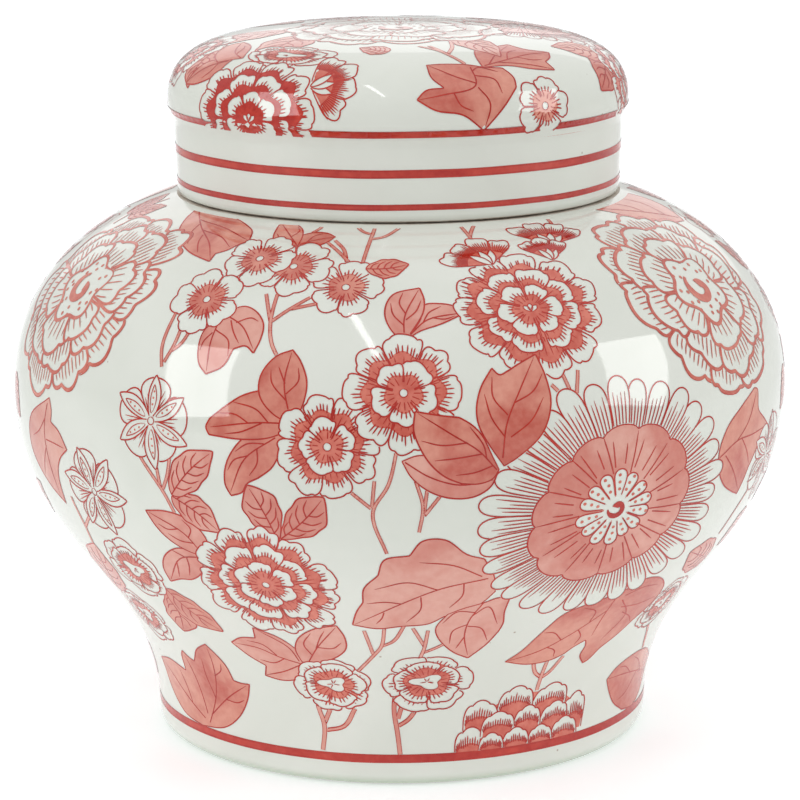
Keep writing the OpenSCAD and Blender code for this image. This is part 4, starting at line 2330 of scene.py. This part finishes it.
class JarPattern(Pattern):
    """The painting of the jar's body."""

    def paint(self) -> None:
        """Lays everything, from the top of the heap down."""
        self._bands()
        self._top_leaves()
        self._small_blossoms()
        self._large_blossoms()
        self._upper_leaves()
        self._middle_leaves()
        self._lower_leaves()
        self._side_filling()
        self._twigs()

    def _bands(self) -> None:
        """The band above the foot, and the limits that nothing is painted past."""
        self.painting.band("bands", Tone.BAND, 8.2, 11.0)
        self.painting.ring("bands", 8.5, replace(BAND_EDGE, width=0.55))
        self.painting.ring("bands", 10.7, replace(BAND_EDGE, width=0.60))
        self.painting.hide_band(-10.0, 11.0)
        self.painting.hide_band(self.skin.top - 0.6, self.skin.top + 40.0)

    def _top_leaves(self) -> None:
        """The dark leaves that lie over the blossoms in the middle."""
        self.lobed_leaves(TOP_LEAVES)
        self.leaf((-6, 190), (1.8, 192), 8.5, peak=0.5, tone=Tone.DARK, bend=0.8)

    def _small_blossoms(self) -> None:
        """The blossoms of one and two rings."""
        self.posy((-32.5, 174), single_blossom(12.4, 11))
        self.posy((-27, 192.5), single_blossom(12.0, 12))
        self.posy((-19.5, 190), single_blossom(12.2, 13))
        self.posy((-9, 182), single_blossom(11.6, 14))
        self.posy((0.5, 147), double_blossom(18.2, 15))
        self.posy((-9.8, 131), double_blossom(16.0, 16))
        self.posy((-48, 78), cup_blossom(13.2, 17))
        self.posy((-14, 36.5), cup_blossom(11.5, 18), wide=1.12)
        self.posy((5, 38), cup_blossom(12.8, 19), wide=1.12, tall=0.95)
        self.put("bells", Bell(14.0, 4, 66.0, 20), 17.2, 190.5, turn=-24.0, wide=1.1)
        self.put("bells", Bell(11.5, 3, 50.0, 21), 29.4, 190.5, turn=4.0, wide=1.1)
        self.put("bells", Bell(13.0, 4, 58.0, 22), 31.6, 197.5, turn=16.0, wide=1.3)

    def _large_blossoms(self) -> None:
        """The rosettes, the sunburst, the peonies and the orchids."""
        self.put("rosettes", rosette(22.5, 31), 21, 172, wide=1.08)
        self.put("rosettes", rosette(23.5, 32, Heart.DOT), -21, 82)
        self.put("sunbursts", Sunburst(), 31.5, 107, wide=1.07, tall=0.97)
        self.put("rosettes", ScaleBlossom(), 28.3, 9.0)
        self.put("peonies", Peony(36.5, 41), -63, 169)
        self.put("peonies", Peony(36.5, 42), 57, 170)
        self.put("orchids", Orchid(14.5, 51), -36.5, 134)
        self.put("orchids", Orchid(15.5, 52), -49.5, 107)
        self.put("orchids", Orchid(15.0, 53), 69, 109)

    def _upper_leaves(self) -> None:
        """The leaves on the shoulder."""
        self.lobed_leaves(SHOULDER_LEAVES)

    def _middle_leaves(self) -> None:
        """The leaves round the belly."""
        self.lobed_leaves(CENTRE_SPRAY)
        self.leaf((-33.4, 112), (-26.2, 127.3), 11.0, peak=0.5, bend=-1.0)
        self.leaf((-33.4, 111.6), (-26.3, 101.3), 10.5, peak=0.5, bend=-1.0)
        self.lobed_leaves(BELLY_PAIR)
        self.leaf((-17.4, 100), (-21.2, 118), 11.5, peak=0.6, bend=0.8)
        self.leaf((-17, 101), (-10.4, 115.6), 11.5, peak=0.6, bend=0.8)
        self.lobed_leaves(FACE_EDGE_LEAVES)

    def _lower_leaves(self) -> None:
        """The leaves between the belly and the foot."""
        self.lobed_leaves(BROAD_LEAVES)
        self.leaf((-42.4, 72), (-34.4, 55), 13.5, peak=0.5, bend=2.0, tone=Tone.DARK)
        self.leaf((-42.6, 71), (-46.2, 50), 12.0, peak=0.6, bend=-1.5, tone=Tone.DARK)
        self.lobed_leaves(FOOT_LEAVES)
        self.leaf((64, 72), (53, 81), 14.0, peak=0.5)
        self.leaf((-64, 60), (-57, 84), 16.0, peak=0.5)

    def _side_filling(self) -> None:
        """The blossoms and leaves between the two faces."""
        self.posy((57.5, 56), cup_blossom(12.0, 61))
        self.posy((-58, 52), cup_blossom(12.0, 62))
        self.posy((88, 186), single_blossom(12.0, 63))
        self.posy((87.5, 152), double_blossom(14.5, 64))
        self.put("rosettes", rosette(20.5, 65), 91, 112)
        self.posy((83, 76), double_blossom(15.0, 66))
        self.posy((97, 66), single_blossom(12.5, 67))
        self.posy((88, 34), cup_blossom(13.0, 68))
        for base, tip, width, tone in (
            ((86, 166), (81, 180), 10.0, Tone.DARK), ((89, 168), (94, 180), 9.0, Tone.PALE),
            ((80, 133), (75, 121), 10.0, Tone.DARK), ((82, 132), (86, 144), 10.0, Tone.PALE),
            ((100, 132), (105, 120), 11.0, Tone.DARK), ((72, 88), (66, 76), 12.0, Tone.PALE),
            ((74, 90), (80, 100), 11.0, Tone.DARK), ((103, 88), (109, 100), 12.0, Tone.PALE),
            ((92, 54), (100, 44), 14.0, Tone.DARK), ((90, 54), (79, 47), 13.0, Tone.PALE),
            ((95, 20), (104, 30), 13.0, Tone.DARK), ((98, 198), (92, 212), 11.0, Tone.DARK),
            ((100, 198), (107, 209), 10.0, Tone.PALE),
        ):
            self.leaf(base, tip, width, tone=tone)

    def _twigs(self) -> None:
        """The stems, which lie under everything else."""
        self.twig([(-36, 150.5), (-37, 157), (-37, 168)],
                  [(-35.8, 152), (-34.9, 158), (-34.7, 168)],
                  [(-35.4, 155), (-33.6, 159), (-32.6, 168)])
        self.twig([(-17, 155), (-19, 161), (-20, 168), (-20.4, 181)], [(-20, 168), (-22.3, 178)],
                  [(-20, 168), (-18, 172), (-14.6, 177.6)],
                  [(-17.2, 173), (-14.6, 174.6), (-12, 176)])
        self.twig([(-6.8, 192), (-5.9, 207), (-5.5, 214)], [(-6, 205), (-3, 206.8), (1, 214)],
                  [(-6, 208), (-8, 209.6), (-10.4, 214)], [(-9.4, 193), (-12, 198), (-15.2, 203)],
                  [(-9.8, 193), (-11, 199), (-13.6, 204)])
        self.twig([(-19.5, 208), (-18.4, 211), (-18.4, 214)])
        self.twig([(14.4, 214), (15.3, 206), (15.6, 200)], [(18.6, 214), (16.2, 208), (15.4, 205)])
        self.twig([(38.4, 214), (37, 208), (35, 202)])
        self.twig([(-33.4, 106), (-34.8, 112.4), (-38.6, 123)], [(-35.2, 114), (-36, 127)],
                  [(-34.9, 113), (-33.8, 118), (-33, 126)])
        self.twig([(-57.6, 82), (-56.4, 92), (-57, 102)], [(-56.5, 91), (-54, 95.4), (-52.4, 98)])
        self.twig([(-2, 97), (-3.8, 111), (-1.6, 120), (-0.4, 131)], [(-4, 112.4), (-6.8, 117.6)],
                  [(-3.9, 112.6), (-3.5, 121)], thick=0.7)
        self.twig([(2.5, 104.5), (3, 113), (2, 121)], [(3.1, 110), (3.6, 119)],
                  [(3.2, 110), (5.6, 117)], thick=0.7)
        self.twig([(25.6, 133), (24.9, 141), (25.8, 151)], [(24.8, 139.4), (21.4, 147.4)],
                  [(24.7, 141), (23.2, 151)])
        self.twig([(-9.8, 40), (-5.3, 50), (-3.6, 55), (-2.9, 64)], [(-5.2, 50.4), (-6.4, 62.6)],
                  [(-3.8, 54.6), (-1.4, 57.6), (0.4, 65)])
        self.twig([(3, 47), (4, 53), (4.5, 62.6)], [(4.1, 54.6), (1.9, 64)],
                  [(4, 51.6), (6, 53.6), (8.4, 56.6)])
        self.twig([(-17.8, 11.5), (-17.1, 20), (-18, 27), (-18, 34)], [(-17, 21), (-15.2, 27)],
                  [(-17, 18.4), (-12.6, 20.4), (-10, 27)], thick=1.1)
        self.twig([(-0.4, 10), (-1, 18), (-1.7, 27), (-1.2, 36)], [(-0.9, 23.6), (0.4, 31)],
                  [(-0.8, 21), (1.4, 23.4), (3.6, 29)], thick=1.1)
        self.twig([(29.6, 30), (30, 42.6)], [(29.9, 35), (28, 37.6), (26.6, 43)],
                  [(29.9, 35), (31.6, 37), (33.6, 43)], thick=1.0)
        self.twig([(64.4, 33), (61, 41), (57.4, 48)])
        self.twig([(61, 84), (62.4, 92), (64.6, 99)])
        self.twig([(88, 168), (87.6, 180)], [(87.8, 168), (87, 160)])
        self.twig([(88, 44), (88.6, 56), (86, 66)], [(88.6, 56), (93, 60)])
        self.twig([(93, 11), (90, 22), (89, 30)], [(91.6, 17), (95, 21)])
        self.twig([(99, 192), (98.6, 200), (100, 214)])


# The leaves on the lid's shoulder.
LID_LEAVES: LeafTable = (
    (Tone.DARK,
     [[(8, 51), (12, 51.4), (19, 50.6), (24, 48.6)], [(29, 47.6), (30.6, 43)],
      [(30.2, 39.6), (26, 34)], [(20.5, 27), (15.4, 32), (9, 33.6)], [(4.5, 37), (7, 40)],
      [(11.4, 40.6), (8.6, 44.6)]],
     [[(20, 49), (19.4, 41), (11, 38.4), (5, 37)], [(19.6, 42), (14.6, 45), (8.6, 50.4)],
      [(20, 45), (25, 43), (26, 38)], [(20, 40.4), (22.4, 35), (20.8, 28)],
      [(13.6, 38.8), (15, 35), (18, 33)], [(20, 47), (22, 48.6), (27, 46)]]),
    (Tone.DARK,
     [[(23.5, 48.6), (24, 55), (27, 61), (33, 62.6)], [(42.5, 63.6), (44.4, 58)],
      [(51, 53.5), (48, 50.4)], [(44.6, 48.6)], [(45, 44.4), (38, 46), (31, 48.6)]],
     [[(24.4, 49.4), (33, 52), (42, 54), (50.4, 53.6)], [(26, 50), (32, 56.6), (41.6, 62.6)],
      [(29.4, 50.8), (37, 48.6), (44.4, 45)], [(33, 52), (36.6, 57), (41, 58)],
      [(37, 53), (41, 50.4), (44.6, 50)]]),
    (Tone.DARK,
     [[(-50, 51), (-55, 58), (-60, 60.4)], [(-66, 61), (-68, 56), (-64, 50)], [(-58, 47)]],
     [[(-51, 51), (-58, 54), (-65.4, 60)], [(-55.4, 52.6), (-57.6, 57), (-60.4, 59)]]),
    (Tone.DARK,
     [[(-53, 50), (-58, 48.6), (-63, 46)], [(-66, 37), (-60, 38), (-54, 42)]],
     [[(-54, 48.6), (-60, 44.6), (-65.4, 38)], [(-57, 46.6), (-57, 43), (-59, 40)]]),
)


class LidPattern(Pattern):
    """The painting of the lid."""

    def paint(self) -> None:
        """Lays everything, from the top of the heap down."""
        self._lower_bands()
        self._rim_blossoms()
        self.painting.band("bands", Tone.BAND, 25.0, 27.4)
        self.painting.ring("bands", 25.2, BAND_EDGE)
        self.painting.ring("bands", 27.2, BAND_EDGE)
        self._crown()
        self._shoulder_leaves()
        self._twigs()

    def _lower_bands(self) -> None:
        """The two bands on the skirt."""
        for low, high in ((2.4, 4.2), (12.3, 14.8)):
            self.painting.band("bands", Tone.BAND, low, high)
            self.painting.ring("bands", low + 0.2, BAND_EDGE)
            self.painting.ring("bands", high - 0.2, replace(BAND_EDGE, width=0.50))
        self._tail()
        self.painting.hide_band(-4.0, 24.7)

    def _tail(self) -> None:
        """The thin line where the upper band's end runs past its start."""
        around = np.linspace(5.0, 78.0, 90)
        up = 23.9 - 0.9 * np.sin(np.radians((around - 5.0) * 2.2))
        self.painting.line("bands", np.column_stack([around, up]), Pen(Tone.SOFT, 0.9, 0.1, 0.4))

    def _rim_blossoms(self) -> None:
        """The blossoms that lie across the upper band."""
        self.posy((37.5, 33), single_blossom(10.2, 71))
        self.put("rosettes", rosette(22.0, 72, wash=Tone.BAND), -38, 29.5, wide=1.1, tall=0.98)
        self.put("bells", Bell(15.0, 4, 74.0, 73), -22, 41, turn=72.0)
        self.put("rosettes", cup_blossom(15.0, 74), -35.5, 56, wide=1.1, tall=0.55)
        self.put("rosettes", rosette(19.0, 75), 82, 35)
        self.posy((100, 48), double_blossom(14.0, 76))

    def _shoulder_leaves(self) -> None:
        """The leaves round the lid's shoulder."""
        self.lobed_leaves(LID_LEAVES)
        self.leaf((74, 47), (57.5, 57), 13.0, tone=Tone.DARK)
        self.leaf((74, 46), (59.5, 35), 13.0, tone=Tone.DARK)
        self.leaf((112, 52), (116, 36), 13.0, tone=Tone.DARK)
        self.leaf((103, 58), (92, 66), 12.0)
        self.leaf((-3, 62), (-14, 66), 9.0)

    def _crown(self) -> None:
        """The large blossoms and leaves on the flat top."""
        painting, top = self.painting, self.skin.top
        painting.lay("peonies", Peony(36.0, 81, 0.7), Place(0.0, top - 8.0, flat=True))
        painting.lay("sunbursts", Sunburst(27.0, 27, 82), Place(95.0, top - 40.0, flat=True))
        painting.lay("rosettes", rosette(16.0, 83), Place(-150.0, top - 44.0, flat=True))
        for around, turn, length, width in (
            (-52.0, -150.0, 30.0, 17.0), (-78.0, -105.0, 28.0, 16.0), (30.0, 145.0, 24.0, 12.0),
            (-120.0, -60.0, 26.0, 15.0), (170.0, 10.0, 26.0, 15.0), (140.0, 60.0, 22.0, 12.0),
        ):
            painting.lay("leaves", Leaf(length, width), Place(around, top - 36.0, turn, flat=True))

    def _twigs(self) -> None:
        """The stems on the lid."""
        self.twig([(19, 51), (16, 58), (14, 62), (8, 68)], [(16, 58.6), (12, 68)],
                  [(16.4, 59), (20, 65), (24, 74)], thick=0.9)
        self.twig([(88, 58), (84, 52)], thick=0.9)


# ------------------------------------------------------------------ the studio


@dataclass(frozen=True)
class SoftBox:
    """A rectangular studio lamp, placed by the direction it is seen in from the jar."""

    name: str
    direction: tuple[float, float, float]
    distance: float
    width: float
    height: float
    radiance: float
    roll: float = 0.0
    seen_in_gloss_only: bool = False

    def build(self, target: Vector) -> None:
        """Hangs the lamp.

        Args:
            target: The point that it faces.
        """
        lamp = bpy.data.lights.new(self.name, "AREA")
        lamp.shape = "RECTANGLE"
        lamp.size, lamp.size_y = self.width, self.height
        lamp.energy = self.radiance * math.pi * self.width * self.height
        hung = bpy.data.objects.new(self.name, lamp)
        towards = Vector(self.direction).normalized()
        hung.location = target + towards * self.distance
        hung.rotation_euler = towards.to_track_quat("Z", "Y").to_euler()
        hung.rotation_euler.rotate_axis("Z", math.radians(self.roll))
        hung.visible_diffuse = not self.seen_in_gloss_only
        bpy.context.scene.collection.objects.link(hung)
        LOG.info("%s: lamp %.2f by %.2f m", self.name, self.width, self.height)


@dataclass(frozen=True)
class Studio:
    """The floor, the lamps, the white surroundings and the camera."""

    camera_distance: float = 1.0811
    camera_height: float = 0.3446
    camera_pitch: float = 12.438
    camera_roll: float = -0.3906
    lens: float = 151.56
    sensor: float = 36.0
    floor_size: float = 14.0
    lamp_target: tuple[float, float, float] = (0.0, -0.05, 0.16)
    glow: tuple[float, float] = (0.48, 0.96)
    glow_reach: tuple[float, float] = (-0.3, 0.9)
    brightest: tuple[float, float, float] = (0.0, 0.25, 0.97)
    lamps: tuple[SoftBox, ...] = (
        SoftBox("left_softbox", (-0.839, -0.401, 0.368), 1.7, 0.61, 1.18, 1.9, 18.0),
        SoftBox("right_softbox", (0.917, -0.213, 0.337), 1.7, 0.64, 1.04, 1.75, -21.0),
        SoftBox("overhead_strip", (-0.1404, -0.4363, 0.889), 1.5, 0.045, 0.79, 8.0, 24.5),
        SoftBox("left_gleam", (-0.839, -0.401, 0.368), 1.69, 0.61, 1.18, 3.1, 18.0, True),
        SoftBox("right_gleam", (0.917, -0.213, 0.337), 1.69, 0.64, 1.04, 2.9, -21.0, True),
        SoftBox("crown_gleam", (0.0, 0.94, 0.32), 2.2, 2.4, 0.9, 0.5, 0.0, True),
    )

    def build(self) -> None:
        """Builds the whole studio."""
        self._floor()
        self._surroundings()
        self._camera()
        for lamp in self.lamps:
            lamp.build(Vector(self.lamp_target))
        view = bpy.context.scene.view_settings
        view.view_transform = "Standard"
        view.look = "None"

    def _floor(self) -> None:
        """Lays the floor at the height that the jar stands on."""
        half = self.floor_size / 2
        corners = [(-half, -half), (half, -half), (half, half), (-half, half)]
        points = np.array([[x, y, cad_low[2]] for x, y in corners])
        floor = mesh_object("studio_floor", points, [[0, 1, 2, 3]])
        floor.data.materials.append(PaleFloorWithPaintedGlow().material())

    def _surroundings(self) -> None:
        """Wraps the scene in white that is brightest overhead and dimmest low in front."""
        world = bpy.data.worlds.new("white_tent")
        bpy.context.scene.world = world
        world.use_nodes = True
        board = Board(world.node_tree)
        towards = board.node("VectorMath", operation="DOT_PRODUCT")
        board.wire(board.node("TexCoord").outputs["Generated"], towards.inputs[0])
        towards.inputs[1].default_value = self.brightest
        glow = board.stretch(towards.outputs["Value"], *self.glow_reach, self.glow)
        background = board.node("Background", Color=(1.0, 1.0, 1.0, 1.0))
        board.wire(glow, background.inputs["Strength"])
        output = board.node("OutputWorld")
        board.wire(background.outputs[0], output.inputs["Surface"])

    def _camera(self) -> None:
        """Sets the camera in front of the jar, a little above it and looking down."""
        camera = bpy.data.cameras.new("camera")
        camera.sensor_width = self.sensor
        camera.lens = self.lens
        camera.clip_start = 0.05
        holder = bpy.data.objects.new("camera", camera)
        holder.location = (0.0, -self.camera_distance, self.camera_height)
        holder.rotation_euler = (math.radians(90.0 - self.camera_pitch), 0.0, 0.0)
        holder.rotation_euler.rotate_axis("Z", math.radians(self.camera_roll))
        bpy.context.scene.collection.objects.link(holder)
        bpy.context.scene.camera = holder


# ------------------------------------------------------------------ the whole scene


def main() -> None:
    """Builds the jar, its painting and the studio round it."""
    logging.basicConfig(level=logging.INFO, format="%(name)s: %(message)s")
    groups = Groups.build()
    finishes = {"glaze": PorcelainGlaze().material(groups), "bare": BareClay().material(groups)}
    pigments = {each.tone: (each.material(groups), each.slot) for each in PIGMENTS}
    jar = TurnedPiece(
        "jar_body", "jar", "jar_porcelain", datum=0.7, chart=Chart.ROUND_THE_SIDE,
        outer_ends=(0.2, 176.4), bare_heights=((69.0, 76.5, 0.0), (64.8, 71.6, 176.4)),
    )
    lid = TurnedPiece(
        "lid", "lid", "lid_porcelain", datum=178.1, chart=Chart.OUT_FROM_THE_CROWN,
        outer_ends=(176.8, 229.3), bare_heights=((66.6, 71.3, 176.8),),
    )
    for piece, pattern, mesh_size in ((jar, JarPattern, 3.0), (lid, LidPattern, 2.0)):
        piece.build(finishes)
        painting = Painting(piece.skin, piece.body, mesh_size)
        pattern(painting).paint()
        painting.build(pigments)
    Studio().build()


if __name__ == "__main__":
    main()
